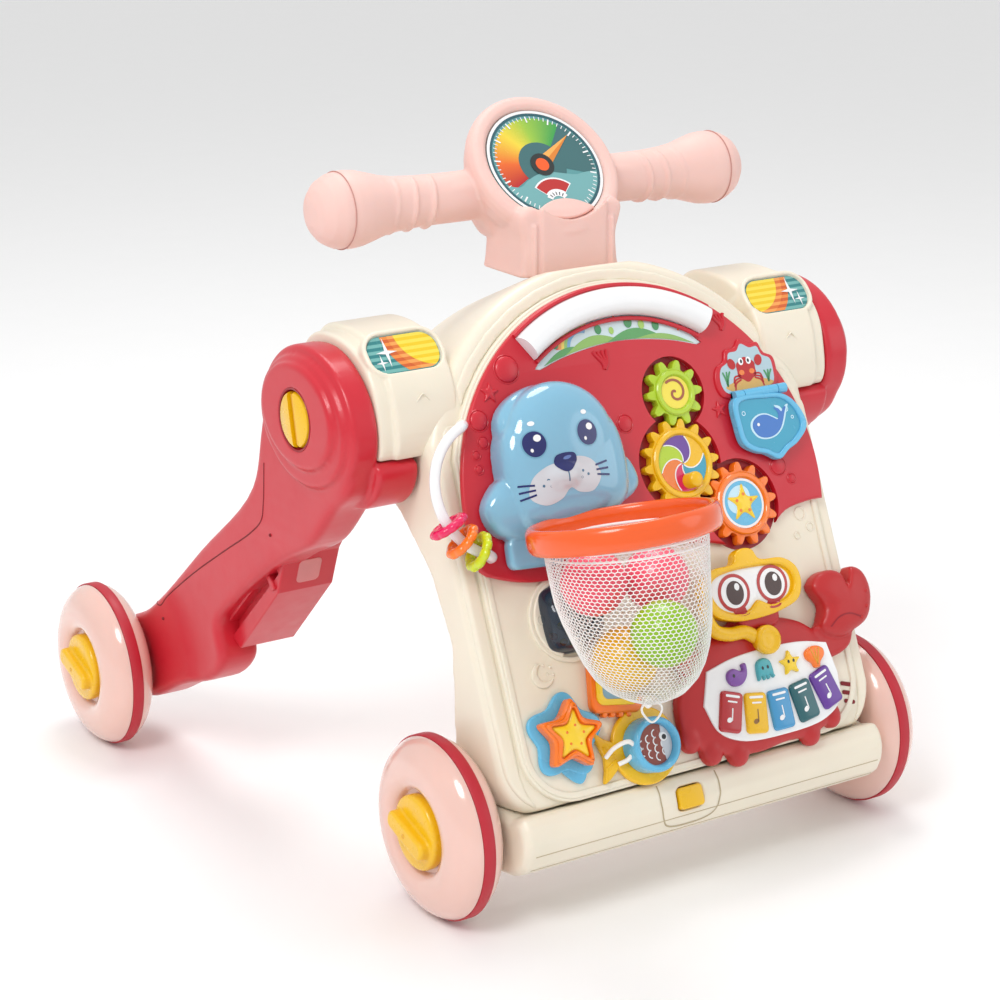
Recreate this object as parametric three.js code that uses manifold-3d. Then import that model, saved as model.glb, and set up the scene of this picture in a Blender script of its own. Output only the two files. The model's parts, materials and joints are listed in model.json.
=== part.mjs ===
// Folding baby walker with a leaning activity panel.
// Millimetres, +Z up. The child pushes towards -Y, the rear wheels are at +Y.
// The origin is on the ground, under the middle of the whole walker.
import * as THREE from 'three';
import { mergeVertices } from 'three/addons/utils/BufferGeometryUtils.js';
import Module from 'manifold-3d';

const wasm = await Module();
wasm.setup();

// ---- driving dimensions ----
const GAP = 0.35;              // air between touching pieces
const FRONT_AXLE_Y = -152.7;     // front axle from the origin
const WHEEL_R = 60;            // wheel radius, so the axles are at this height
const WHEEL_HALF = 19;         // half the wheel's width
const AXLE_R = 4;
const FRONT_TRACK = 167.5;     // half the distance between the front wheels
const REAR_TRACK = 226.5;      // half the distance between the rear wheels
const WHEELBASE = 376;

const PANEL_TILT = 23.4;       // degrees that the panel leans back from upright
const PANEL_FOOT_Y = -92.5;    // where the panel's face would meet the ground
const PANEL_R = 142;           // radius of the panel's round top
const PANEL_C = 269;           // height of that round top's centre, up the slope
const PANEL_HALF = 135;        // half the panel's width
const PANEL_BOTTOM = 90;       // lower edge, up the slope
const BOARD_T = 12.5;          // thickness of the panel board

const SHOULDER_Y = 108;        // arm pivot, behind the front axle
const SHOULDER_Z = 304;
const BLOCK_IN = 121;          // shoulder block, inner and outer side
const BLOCK_OUT = 177.6;
const ARM_IN = 166;            // arm, inner and outer side
const ARM_OUT = 197;
const ARM_TRAVEL = 40;         // degrees that the arm swings up and back
const SWEEP_STEP = 5;
const BLOCK_FLOOR = 287;       // underside of the shoulder block
const BLOCK_FRONT = 46;
const BLOCK_BACK = 159.4;
const BLOCK_TALL = 76;
const FLARE = 0.042;           // outward lean of the limb behind the shoulder
const FLARE_START = 40;

const DIAL_Y = 133.6;
const DIAL_Z = 443.6;
const DIAL_TILT = 42;
const DIAL_R = 42;
const BAR_Y = 149;             // handlebar's line
const BAR_Z = 426;

const GEAR_MODULE = 3.9;       // pitch diameter over tooth count
const PRESSURE = 27;           // gear pressure angle in degrees
const KEY_COUNT = 5;
const DRUM = { x: -80, y: 203, r: 25 };

const rad = THREE.MathUtils.degToRad;

// ---- materials ----
function plastic(color, roughness = 0.35) {
  return new THREE.MeshStandardMaterial({ color, roughness, metalness: 0 });
}
const CREAM = plastic(0xf3ead8, 0.4);
const RED = plastic(0xd2313c, 0.38);
const PINK = plastic(0xf0c4bd, 0.3);
const SOFT_PINK = plastic(0xecc7bf, 0.55);
const YELLOW = plastic(0xf2c40f, 0.3);
const ORANGE = plastic(0xec5a12, 0.25);
const WHITE = plastic(0xf1f1f1, 0.3);
const BLUE = plastic(0x8fc4d6, 0.18);
const SKY = plastic(0x5fb8dc, 0.2);
const GREEN = plastic(0xb6cf1e, 0.3);
const TEAL = plastic(0x2f7f80, 0.3);
const SMOKE = plastic(0x2c3b50, 0.1);
const PURPLE = plastic(0x5b2a86, 0.3);
const STEEL = new THREE.MeshStandardMaterial({ color: 0xb8bcc0, roughness: 0.3, metalness: 1 });
const MESH_CLOTH = plastic(0xf5f2ee, 0.9);

// ---- solids ----
// A closed solid from any closed geometry, with its faces pointing out.
function solid(geometry) {
  const bare = geometry.index ? geometry.toNonIndexed() : geometry.clone();
  bare.deleteAttribute('normal');
  bare.deleteAttribute('uv');
  const merged = mergeVertices(bare, 1e-3);
  const index = merged.index.array;
  const corners = [];
  for (let i = 0; i < index.length; i += 3) {
    const [a, b, c] = [index[i], index[i + 1], index[i + 2]];
    if (a !== b && b !== c && c !== a) corners.push(a, b, c);
  }
  const vertProperties = merged.attributes.position.array;
  const make = (list) => new wasm.Manifold(
    new wasm.Mesh({ numProp: 3, vertProperties, triVerts: Uint32Array.from(list) }));
  const body = make(corners);
  return body.volume() > 0 ? body : make(corners.reverse());
}

function geometryOf(body) {
  const { vertProperties, triVerts } = body.getMesh();
  const geometry = new THREE.BufferGeometry();
  geometry.setAttribute('position', new THREE.BufferAttribute(vertProperties, 3));
  geometry.setIndex(new THREE.BufferAttribute(triVerts, 1));
  geometry.computeVertexNormals();
  return geometry;
}

function joined(...bodies) {
  return bodies.reduce((whole, body) => whole.add(body));
}

// The biggest of the separate bodies that a cut leaves.
function largest(body) {
  return body.decompose().sort((a, b) => b.volume() - a.volume())[0];
}

// ---- shape helpers ----
function shapeOf(points) {
  return new THREE.Shape(points.map(([x, y]) => new THREE.Vector2(x, y)));
}

// A plate of a flat outline from height low to height high along +Z, with bevelled edges.
function plate(shape, low, high, bevel = 0, curveSegments = 2) {
  const depth = high - low - 2 * bevel;
  const geometry = new THREE.ExtrudeGeometry(shape, {
    depth, curveSegments, bevelEnabled: bevel > 0, bevelSegments: 1,
    bevelThickness: bevel, bevelSize: bevel, bevelOffset: -bevel,
  });
  return solid(geometry.translate(0, 0, low + bevel));
}

// A plate whose outline is drawn in Y and Z and which runs along X.
function sidePlate(shape, low, high, bevel = 0, curveSegments = 2) {
  const turn = new THREE.Matrix4().makeBasis(
    new THREE.Vector3(0, 1, 0), new THREE.Vector3(0, 0, 1), new THREE.Vector3(1, 0, 0));
  return plate(shape, low, high, bevel, curveSegments).transform(turn.elements);
}

// A solid of revolution about +Z from [radius, height] points. A profile off the axis closes itself.
function turned(points, segments = 32) {
  const loop = points[0][0] > 0 ? [...points, points[0]] : points;
  const profile = loop.map(([r, h]) => new THREE.Vector2(r, h));
  return solid(new THREE.LatheGeometry(profile, segments).rotateX(Math.PI / 2));
}

// The same, turned to run along +X, with heights measured along X.
function turnedX(points, segments = 32) {
  return turned(points, segments).rotate([0, 90, 0]);
}

// A round rod along +X.
function rod(from, to, radius, segments = 14) {
  return turnedX([[0, from], [radius, from], [radius, to], [0, to]], segments);
}

function roundedRectangle(cx, cy, width, height, radius) {
  const [x, y] = [cx - width / 2, cy - height / 2];
  const shape = new THREE.Shape();
  shape.moveTo(x + radius, y);
  shape.lineTo(x + width - radius, y);
  shape.absarc(x + width - radius, y + radius, radius, -Math.PI / 2, 0);
  shape.lineTo(x + width, y + height - radius);
  shape.absarc(x + width - radius, y + height - radius, radius, 0, Math.PI / 2);
  shape.lineTo(x + radius, y + height);
  shape.absarc(x + radius, y + height - radius, radius, Math.PI / 2, Math.PI);
  shape.lineTo(x, y + radius);
  shape.absarc(x + radius, y + radius, radius, Math.PI, 1.5 * Math.PI);
  return shape;
}

function circle(cx, cy, radius) {
  const shape = new THREE.Shape();
  shape.absarc(cx, cy, radius, 0, 2 * Math.PI);
  return shape;
}

function ellipse(cx, cy, rx, ry) {
  const shape = new THREE.Shape();
  shape.absellipse(cx, cy, rx, ry, 0, 2 * Math.PI);
  return shape;
}

// A closed smooth outline through a few points.
function smooth(points, steps = 4) {
  const curve = new THREE.CatmullRomCurve3(
    points.map(([x, y]) => new THREE.Vector3(x, y, 0)), true, 'centripetal');
  const places = curve.getPoints(points.length * steps);
  return shapeOf(places.slice(0, -1).map((p) => [p.x, p.y]));
}

function star(cx, cy, outer, inner, points = 5, turn = 90) {
  const corners = [];
  for (let i = 0; i < 2 * points; i += 1) {
    const angle = rad(turn + (i * 180) / points);
    const r = i % 2 === 0 ? outer : inner;
    corners.push([cx + r * Math.cos(angle), cy + r * Math.sin(angle)]);
  }
  return smooth(corners, 2);
}

// The panel's outline: straight sides, round lower corners and a round top.
function archOutline(half, bottom, topRadius, corner) {
  const reach = Math.sqrt(topRadius * topRadius - half * half);
  const start = Math.atan2(reach, half);
  const shape = new THREE.Shape();
  shape.moveTo(-half + corner, bottom);
  shape.lineTo(half - corner, bottom);
  shape.absarc(half - corner, bottom + corner, corner, -Math.PI / 2, 0);
  shape.lineTo(half, PANEL_C + reach);
  shape.absarc(0, PANEL_C, topRadius, start, Math.PI - start);
  shape.lineTo(-half, bottom + corner);
  shape.absarc(-half + corner, bottom + corner, corner, Math.PI, 1.5 * Math.PI);
  return shape;
}

// ---- groups and placing ----
const walker = new THREE.Group();
walker.position.y = FRONT_AXLE_Y;

// The panel's own frame: X across, Y up the slope, Z out of its face.
const panel = new THREE.Group();
panel.position.y = PANEL_FOOT_Y;
panel.rotation.x = Math.PI / 2 - rad(PANEL_TILT);
walker.add(panel);

function put(name, body, material, parent = walker) {
  const mesh = new THREE.Mesh(geometryOf(body), material);
  mesh.name = name;
  parent.add(mesh);
  return mesh;
}

// Takes a solid from the panel's frame into the walker's frame.
function fromPanel(body) {
  return body.rotate([90 - PANEL_TILT, 0, 0]).translate([0, PANEL_FOOT_Y, 0]);
}

// Makes the left piece of a pair from its right one.
function mirrored(body) {
  return body.mirror([1, 0, 0]);
}

function putPair(name, body, material) {
  put(`${name}_right`, body, material);
  put(`${name}_left`, mirrored(body), material);
}

// ---- body: front shell, back shell and base beam ----
const SPLIT_H = -16;           // where the two shells meet, behind the panel's face
const SHELL_WALL = 3;

function bodySide(inset) {
  const i = inset;
  return shapeOf([
    [-44.6 + i, 77 + i], [13 - i, 81 + i], [13 - i, 112], [16 - i, 172], [41 - i, 213 - i / 2],
    [77 - i, 243 - i], [112 - i, 262], [142 - i, 285], [157 - i, 320], [159 - i, 358],
    [153 - i, 376.5 - i], [98, 376.5 - i], [80, 386 - i], [60, 372 - i], [-57 + i, 84 + i],
  ]);
}

function bodyBlank(inset) {
  const outline = archOutline(148 - inset, 86 + inset, 158 - inset, 30 - inset);
  const front = fromPanel(plate(outline, -170, -3 - inset, 0, 8));
  return front.intersect(sidePlate(bodySide(inset), -150 + inset, 150 - inset));
}

function shoulderRoom(grow) {
  const low = [BLOCK_IN - grow, 44, 286];
  const box = new THREE.BoxGeometry(80, 150, 90);
  return solid(box.translate(low[0] + 40, low[1] + 75, low[2] + 45));
}

function makeBody() {
  const outer = bodyBlank(0);
  const rooms = joined(shoulderRoom(GAP), mirrored(shoulderRoom(GAP)));
  const pocket = fromPanel(plate(
    archOutline(PANEL_HALF + GAP, PANEL_BOTTOM - 12, PANEL_R + GAP, 36), -BOARD_T - GAP, 0, 0, 8));
  const frontSlab = fromPanel(plate(archOutline(145.5, 88, 150.5, 32), SPLIT_H + GAP, -3, 1, 8));
  const drumHole = fromPanel(plate(circle(DRUM.x, DRUM.y, DRUM.r + 2), -30, 0, 0, 5));
  const front = frontSlab.intersect(outer).subtract(pocket).subtract(rooms).subtract(drumHole);
  put('body_front_shell', front, CREAM);
  const behind = fromPanel(plate(roundedRectangle(0, 260, 500, 500, 10), -200, SPLIT_H));
  const hollowRooms = joined(shoulderRoom(SHELL_WALL + GAP), mirrored(shoulderRoom(SHELL_WALL + GAP)));
  const hollow = bodyBlank(SHELL_WALL).subtract(hollowRooms);
  put('body_back_shell', outer.intersect(behind).subtract(rooms).subtract(hollow), CREAM);
}

function makeBeam() {
  const side = smooth([
    [-57.2, 80.4], [-66, 66], [-62, 48], [-46, 37], [-18, 34], [6, 36], [13, 50], [13, 79.6],
    [-18, 79.2], [-44.2, 75.6],
  ], 2);
  const hard = shapeOf([
    [-58.2, 81.2], [-70, 66], [-66, 40], [-46, 30], [16, 30], [13, 80.4], [-44.6, 76.2],
  ]);
  const beam = sidePlate(side, -145, 145, 4).intersect(sidePlate(hard, -146, 146));
  const bore = rod(-200, 200, AXLE_R + GAP).translate([0, 0, WHEEL_R]);
  const slot = fromPanel(plate(roundedRectangle(-19, 74, 20, 15, 3), -16, 12));
  put('base_beam', beam.subtract(bore).subtract(slot), CREAM);
  const button = fromPanel(plate(roundedRectangle(-19, 74, 19, 14, 2.6), -10, 3.4, 1));
  put('base_release_button', button, YELLOW);
}

// ---- wheels and axles ----
const WHEEL_SEGMENTS = 28;     // a multiple of four, so that a corner meets the ground
const HUB_FACE = 11;           // where the cap sits, out from the wheel's middle
const WHEEL_PROFILE = [
  [AXLE_R + GAP, -10], [16, -10], [36, -WHEEL_HALF], [49, -17], [57, -10.5],
  [WHEEL_R, -4], [WHEEL_R, 4], [57, 10.5], [49, 17], [36, WHEEL_HALF],
  [25.5, HUB_FACE], [AXLE_R + GAP, HUB_FACE],
];

function makeWheel(name, side, track, y) {
  const place = (body) => {
    const right = body.translate([track, y, WHEEL_R]);
    return side > 0 ? right : mirrored(right);
  };
  put(name, place(turnedX(WHEEL_PROFILE, WHEEL_SEGMENTS)), PINK);
  const seat = HUB_FACE + GAP;
  const disc = turnedX([[0, seat], [24.5, seat], [24.5, 18], [22.5, 20], [0, 20]], 20);
  const grip = sidePlate(roundedRectangle(0, 0, 42, 11, 4), 18, 27, 1.5, 3);
  put(`${name}_cap`, place(joined(disc, grip.rotate([18, 0, 0]))), YELLOW);
}

function makeWheels() {
  for (const [word, side] of [['right', 1], ['left', -1]]) {
    makeWheel(`front_wheel_${word}`, side, FRONT_TRACK, 0);
    makeWheel(`rear_wheel_${word}`, side, REAR_TRACK, WHEELBASE);
  }
  const frontReach = FRONT_TRACK + HUB_FACE;
  const frontAxle = rod(-frontReach, frontReach, AXLE_R);
  put('front_axle', frontAxle.translate([0, 0, WHEEL_R]), STEEL);
  const stub = rod(ARM_IN + 6, REAR_TRACK + HUB_FACE, AXLE_R);
  putPair('rear_axle', stub.translate([0, WHEELBASE, WHEEL_R]), STEEL);
}

// ---- arms ----
function armOutline() {
  return smooth([
    [52, 296], [62, 330], [92, 350], [128, 348], [160, 322], [172, 286], [186, 242], [262, 176],
    [345, 108], [392, 82], [400, 56], [386, 36], [352, 36], [300, 62], [250, 84], [235, 102],
    [240, 126], [222, 146], [154, 196], [110, 220], [80, 250], [60, 268],
  ], 2);
}

function makeArms() {
  const limb = sidePlate(armOutline(), ARM_IN, ARM_OUT, 6);
  const flange = sidePlate(
    ellipse(SHOULDER_Y, SHOULDER_Z - 2, 59, 50), BLOCK_OUT + GAP, ARM_OUT, 3, 8);
  const step = sidePlate(ellipse(SHOULDER_Y, SHOULDER_Z, 54, 42), ARM_OUT - 6, ARM_OUT + 4.5, 4, 8);
  const cap = sidePlate(ellipse(SHOULDER_Y, SHOULDER_Z + 4, 46, 34), ARM_OUT, ARM_OUT + 9, 4, 8);
  const cup = sidePlate(smooth([
    [50, 284], [52, 268], [66, 254], [88, 250], [106, 254], [108, 270], [94, 284],
  ], 3), 150, ARM_IN + 14, 3);
  const blockRoom = sweptBlockRoom();
  const knobSeat = rod(196, 210, 19, 20).translate([0, SHOULDER_Y, SHOULDER_Z + 2]);
  const bore = rod(100, 240, AXLE_R + GAP).translate([0, WHEELBASE, WHEEL_R]);
  const bracketRoom = sidePlate(bracketOutline(GAP), ARM_IN - 20, ARM_OUT - 7);
  const flared = flaredOutwards(limb);
  const arm = joined(flared, flange, step, cap, cup).subtract(blockRoom)
    .subtract(knobSeat).subtract(bore).subtract(bracketRoom);
  putPair('arm', arm, RED);
  const knob = turnedX([[0, 196 + GAP], [18.2, 196 + GAP], [18.2, 205], [16, 207.5], [0, 207.5]], 20)
    .subtract(solid(new THREE.BoxGeometry(12, 6, 50).translate(209, 1, 0)))
    .rotate([-12, 0, 0]);
  putPair('shoulder_lock_knob', knob.translate([0, SHOULDER_Y, SHOULDER_Z + 2]), YELLOW);
  const recess = shapeOf([[156, 189.6], [163.8, 170], [171.2, 172.9], [163.6, 192.5]]);
  const bracket = sidePlate(bracketOutline(0), ARM_IN - 8, ARM_OUT - 7 - GAP, 1.5)
    .subtract(sidePlate(recess, ARM_IN - 2, ARM_OUT - 14));
  putPair('seat_bracket', bracket, RED);
}

// The limb leans outwards from the shoulder, so that its foot meets the wheel.
function flaredOutwards(limb) {
  return limb.warp((point) => {
    point[0] += Math.max(0, point[1] - SHOULDER_Y - FLARE_START) * FLARE;
  });
}

// The shoulder block's room, swept through the arm's whole travel about the shoulder.
function sweptBlockRoom() {
  const tall = BLOCK_TALL + GAP;
  const room = new THREE.BoxGeometry(60, BLOCK_BACK - BLOCK_FRONT + 2 * GAP, tall).translate(
    BLOCK_OUT + GAP - 30,
    (BLOCK_FRONT + BLOCK_BACK) / 2 - SHOULDER_Y,
    BLOCK_FLOOR - GAP + tall / 2 - SHOULDER_Z);
  const steps = [];
  for (let angle = 0; angle <= ARM_TRAVEL; angle += SWEEP_STEP) {
    steps.push(solid(room.clone()).rotate([-angle, 0, 0]).translate([0, SHOULDER_Y, SHOULDER_Z]));
  }
  return joined(...steps);
}

// The seat bracket's side outline, grown by a small margin.
function bracketOutline(grow) {
  const g = grow;
  return shapeOf([
    [146 - g, 214 + g], [160 - g, 196 - g], [171 - g, 168 - g], [229, 110 - g], [252 + g, 120 - g],
    [262 + g, 140], [200 + g, 196 + g],
  ]);
}

// ---- shoulder blocks ----
const BUTTON_DEEP = 8;         // leaves the button room to be pressed in

function makeShoulders() {
  const side = smooth([
    [50, 287.5], [50, 322], [60, 342], [80, 356], [108, 361], [138, 356], [154, 336], [154, 287.5],
  ], 3);
  const above = shapeOf([[40, BLOCK_FLOOR], [40, 370], [170, 370], [170, BLOCK_FLOOR]]);
  const cut = sidePlate(above, BLOCK_IN, BLOCK_OUT);
  const block = sidePlate(side, BLOCK_IN, BLOCK_OUT, 2.5).intersect(cut);
  const seat = (body) => body.rotate([-42, 0, 0]).translate([148, 74, 346]);
  const well = seat(sideTop(51, 27.4, -BUTTON_DEEP, 12, 0));
  const button = seat(sideTop(50.2, 26.6, -4, 2.6, 1.2));
  const boardRoom = fromPanel(plate(
    archOutline(PANEL_HALF + 1.5, PANEL_BOTTOM, PANEL_R + 1.5, 36), -20, 10, 0, 8));
  putPair('shoulder_block', block.subtract(well).subtract(boardRoom), CREAM);
  putPair('shoulder_button', button, TEAL);
}

// A long round-ended button lying flat, pressed along -Y when it stands upright.
function sideTop(width, height, low, high, bevel) {
  const lying = plate(roundedRectangle(0, 0, width, height, height / 2 - 2), low, high, bevel, 4);
  return lying.rotate([90, 0, 0]);
}

// ---- handlebar and dial ----
function makeHandlebar() {
  const bar = turnedX([
    [0, -169], [16, -165], [24, -155], [25.3, -144], [23, -132], [18, -115],
    [16.6, -80], [16.6, 80], [18, 115], [23, 132], [25.3, 144],
    [24, 155], [16, 165], [0, 169],
  ], 16).translate([0, BAR_Y, BAR_Z]);
  const neckFront = shapeOf([
    [-37, 377], [-39, 392], [-48, 408], [-66, 420], [-66, 432], [0, 444], [66, 432], [66, 420],
    [48, 408], [39, 392], [37, 377],
  ]);
  const neck = solid(new THREE.ExtrudeGeometry(neckFront, {
    depth: 44, bevelEnabled: true, bevelSegments: 1, bevelThickness: 5, bevelSize: 4, bevelOffset: -4,
  }).rotateX(Math.PI / 2).translate(0, 150, 0));
  const housing = turned([
    [0, -30], [40, -30], [50, -22], [54.5, -8], [54, -1], [50, 3], [46, 3], [DIAL_R + GAP, -2],
    [0, -2],
  ], 28);
  const place = (body) => body.rotate([90 - DIAL_TILT, 0, 0]).translate([0, DIAL_Y, DIAL_Z]);
  const well = place(turned([[0, -2], [DIAL_R + GAP, -2], [46, 3], [46, 30], [0, 30]], 28));
  const flatFoot = solid(new THREE.BoxGeometry(200, 200, 40).translate(0, 120, 376.9 - 20));
  put('handlebar', joined(neck, bar, place(housing)).subtract(well).subtract(flatFoot), SOFT_PINK);
  put('dial_face', place(turned([[0, -2 + GAP], [DIAL_R, -2 + GAP], [DIAL_R, 0], [0, 0]], 28)), TEAL);
}

// ---- activity panel ----
const GEARS = {
  green: { teeth: 10, x: 34.6, y: 330, material: GREEN },
  yellow: { teeth: 14, x: 28, y: 283.66, material: YELLOW },
  orange: { teeth: 13, x: 68.72, y: 250.28, material: ORANGE },
};
const STAR_KNOB = { x: -102, y: 131, tip: 23, notch: 14.2 };
const FISH = { x: -46, y: 113 };
const DOME_EDGE = 238;         // where the red dome plate ends at its sides

function gearWells(low, high) {
  return joined(...Object.values(GEARS).map(({ teeth, x, y }) => plate(
    circle(x, y, (teeth * GEAR_MODULE) / 2 + 5), low, high, 0, 9)));
}

function makeBoard() {
  let board = plate(archOutline(PANEL_HALF, PANEL_BOTTOM, PANEL_R, 36), -BOARD_T, 0, 1.5, 8);
  board = board.subtract(plate(circle(DRUM.x, DRUM.y, DRUM.r + 2), -BOARD_T - 1, 1, 0, 10));
  const square = plate(roundedRectangle(0, 0, 38, 36, 6), -1, 7, 1)
    .rotate([0, 0, -10]).translate([-59, 155, 0]);
  const starBase = plate(star(STAR_KNOB.x, STAR_KNOB.y, 29, 21, 5, 80), -1, 4, 1);
  const fishRing = plate(circle(FISH.x, FISH.y, 25), -1, 5, 1, 8);
  const fishTail = plate(smooth([
    [FISH.x - 20, FISH.y + 4], [FISH.x - 36, FISH.y + 18], [FISH.x - 33, FISH.y - 1],
    [FISH.x - 34, FISH.y - 17], [FISH.x - 20, FISH.y - 6],
  ], 2), -1, 5, 1);
  put('panel_board', joined(board, square, starBase, fishRing, fishTail), CREAM, panel);
}

function makeDome() {
  const edge = PANEL_HALF - 3;
  const top = PANEL_R - 3;
  const reach = Math.sqrt(top * top - edge * edge);
  const start = Math.atan2(reach, edge);
  const shape = new THREE.Shape();
  shape.moveTo(-edge, DOME_EDGE);
  shape.quadraticCurveTo(-104, DOME_EDGE - 14, -60, DOME_EDGE - 6);
  shape.quadraticCurveTo(0, DOME_EDGE - 2, 36, DOME_EDGE - 8);
  shape.quadraticCurveTo(70, DOME_EDGE - 24, 104, DOME_EDGE + 4);
  shape.lineTo(edge, DOME_EDGE + 6);
  shape.lineTo(edge, PANEL_C + reach);
  shape.absarc(0, PANEL_C, top, start, Math.PI - start);
  const dome = plate(shape, GAP, 5, 1.5, 8);
  const window = plate(smooth([
    [-66, 360], [-46, 379], [-20, 389], [0, 391], [20, 389], [46, 379], [66, 360],
    [40, 364], [0, 368], [-40, 364],
  ], 2), -1, 6);
  put('panel_dome', dome.subtract(gearWells(-1, 6)).subtract(window), RED, panel);
}

function arcBand(inner, outer, fromAngle, toAngle) {
  const shape = new THREE.Shape();
  shape.absarc(0, PANEL_C, outer, rad(fromAngle), rad(toAngle));
  shape.absarc(0, PANEL_C, inner, rad(toAngle), rad(fromAngle), true);
  return shape;
}

function makeCarryHandle() {
  const handle = plate(arcBand(117, 135.5, 56, 124), 5 + GAP, 15, 2.5, 14);
  put('carry_handle', handle, WHITE, panel);
}

// Hoop: a band in front of the panel, with its front edge tipped up.
const HOOP_C = [-76, -66, 260];
const HOOP_TURN = [-15, -1, 0];
const HOOP_R = 60;

function hoopBand(grow) {
  const [outer, inner, half] = [HOOP_R + grow, HOOP_R - 7 - grow, 8 + grow];
  const profile = [
    [inner, -half + 1], [outer - 2, -half], [outer, -half + 3], [outer, half - 3],
    [outer - 2, half], [inner, half - 1],
  ];
  return turned(profile, 32).rotate(HOOP_TURN).translate(HOOP_C);
}

function makeSeal() {
  const head = smooth([
    [-108, 300], [-108, 330], [-97, 343], [-74, 350], [-48, 342], [-33, 326], [-27, 302],
    [-17, 292], [-14, 276], [-30, 266], [-70, 262], [-108, 256], [-124, 262], [-130, 278], [-120, 292],
  ], 3);
  const seal = plate(head, 5 + GAP, 26, 7);
  const bracket = plate(roundedRectangle(-74, 256, 70, 22, 6), 5 + GAP, 13, 1);
  put('seal', largest(fromPanel(joined(seal, bracket)).subtract(hoopBand(GAP))), BLUE);
  put('hoop', hoopBand(0), ORANGE);
}

// The net hangs from the hoop, drawn together at its foot. The balls push its foot right and forward.
const NET_DEPTH = 110;
const NET_PROFILE = [[9, -NET_DEPTH + 2], [28, -100], [39.5, -84], [45.5, -62], [48.5, -34], [49.5, -14]];

function makeNet() {
  const inside = NET_PROFILE.map(([r, h]) => [r - 1.4, h]).reverse();
  inside[inside.length - 1] = [9, -NET_DEPTH + 3.8];
  const bag = turned([[0, -NET_DEPTH], ...NET_PROFILE, ...inside, [0, -NET_DEPTH + 1.8]], 24);
  const lean = new THREE.Matrix4().set(1, 0, -0.12, 0, 0, 1.05, 0.205, 0, 0.017, -0.268, 1, 0, 0, 0, 0, 1);
  put('net', bag.transform(lean.elements).translate(HOOP_C), MESH_CLOTH);
}

const BALL_R = 20.5;
const BALLS = {
  ball_pink: [-95, -62, 227],
  ball_rose: [-48, -62, 221],
  ball_green: [-71, -102, 202],
  ball_yellow: [-76, -70, 176],
};

function makeBalls() {
  for (const [name, place] of Object.entries(BALLS)) {
    const ball = solid(new THREE.SphereGeometry(BALL_R, 14, 9)).translate(place);
    put(name, ball, name === 'ball_green' ? GREEN : PINK);
  }
}

// An involute gear outline about its own centre.
function gearShape(teeth) {
  const pitch = (teeth * GEAR_MODULE) / 2;
  const base = pitch * Math.cos(rad(PRESSURE));
  const [tip, root] = [pitch + 0.62 * GEAR_MODULE, pitch - 0.85 * GEAR_MODULE];
  const roll = (r) => Math.sqrt(Math.max(0, (r / base) ** 2 - 1));
  const involute = (r) => roll(r) - Math.atan(roll(r));
  const halfTooth = Math.PI / (2 * teeth) - 0.022 + involute(pitch);
  const flank = [root, Math.max(base, root + 0.4), pitch, tip];
  const points = [];
  for (let i = 0; i < teeth; i += 1) {
    const centre = (2 * Math.PI * i) / teeth;
    const at = (r, side) => {
      const angle = centre + side * (halfTooth - involute(r));
      return [r * Math.cos(angle), r * Math.sin(angle)];
    };
    flank.forEach((r) => points.push(at(r, -1)));
    [...flank].reverse().forEach((r) => points.push(at(r, 1)));
  }
  return shapeOf(points);
}

// Turns each gear so that its teeth mesh with the yellow gear's.
function gearTurn(name) {
  if (name === 'yellow') return 0;
  const [hub, gear] = [GEARS.yellow, GEARS[name]];
  const line = Math.atan2(gear.y - hub.y, gear.x - hub.x);
  const hubPhase = (line * hub.teeth) / (2 * Math.PI);
  const toothTurn = ((hubPhase % 1) * 2 * Math.PI) / gear.teeth;
  return line + Math.PI + Math.PI / gear.teeth + toothTurn;
}

function makeGears() {
  for (const [name, { teeth, x, y, material }] of Object.entries(GEARS)) {
    const pitch = (teeth * GEAR_MODULE) / 2;
    let gear = plate(gearShape(teeth), GAP, 7);
    gear = gear.add(plate(circle(0, 0, pitch - 5), 3, 9, 0.8, 8));
    if (name === 'yellow') gear = gear.add(plate(circle(2, -12, 5), 6, 18, 1, 6));
    gear = gear.rotate([0, 0, THREE.MathUtils.radToDeg(gearTurn(name))]).translate([x, y, 0]);
    put(`gear_${name}`, gear, material, panel);
  }
}

function makeDoor() {
  const leaf = smooth([
    [76, 318], [74, 300], [76, 288], [84, 282], [93, 279], [103, 274], [112, 279], [121, 283],
    [131, 293], [128, 306], [118, 316], [100, 319],
  ], 2);
  const door = plate(leaf, 6.2, 11.5, 1);
  const barrel = rod(-14, 14, 3.4, 10).translate([100, 320.5, 9.6]);
  put('shell_door', joined(door, barrel), SKY, panel);
}

function makeRattle() {
  const r = DRUM.r;
  const drum = turnedX([
    [0, -21], [r * 0.58, -20], [r * 0.85, -11], [r * 0.94, 0], [r * 0.85, 11], [r * 0.58, 20],
    [0, 21],
  ], 16);
  put('rattle_drum', drum.translate([DRUM.x, DRUM.y, -4]), SMOKE, panel);
}

function makeTurners() {
  const outline = star(STAR_KNOB.x, STAR_KNOB.y, STAR_KNOB.tip, STAR_KNOB.notch, 5, 80);
  const knob = plate(outline, 4 + GAP, 17, 2);
  put('star_knob', knob, ORANGE, panel);
  const ring = plate(circle(FISH.x, FISH.y, 17.8), 5 + GAP, 20, 1.5, 8);
  put('fish_knob', ring, SKY, panel);
}

// ---- crab piano ----
const KEY_TRAVEL_FLOOR = -1;   // the wells go right through, so a key can sink into its own
const NOSE = { x: 56, y: 160, r: 8.6 };

function crabOutline() {
  return smooth([
    [-18, 128], [-16, 108], [0, 98], [20, 92], [40, 90], [60, 92], [82, 92], [100, 98],
    [110, 110], [112, 130], [108, 150], [96, 164], [78, 172], [52, 178], [26, 172], [6, 164],
    [-9, 150],
  ], 2);
}

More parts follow.
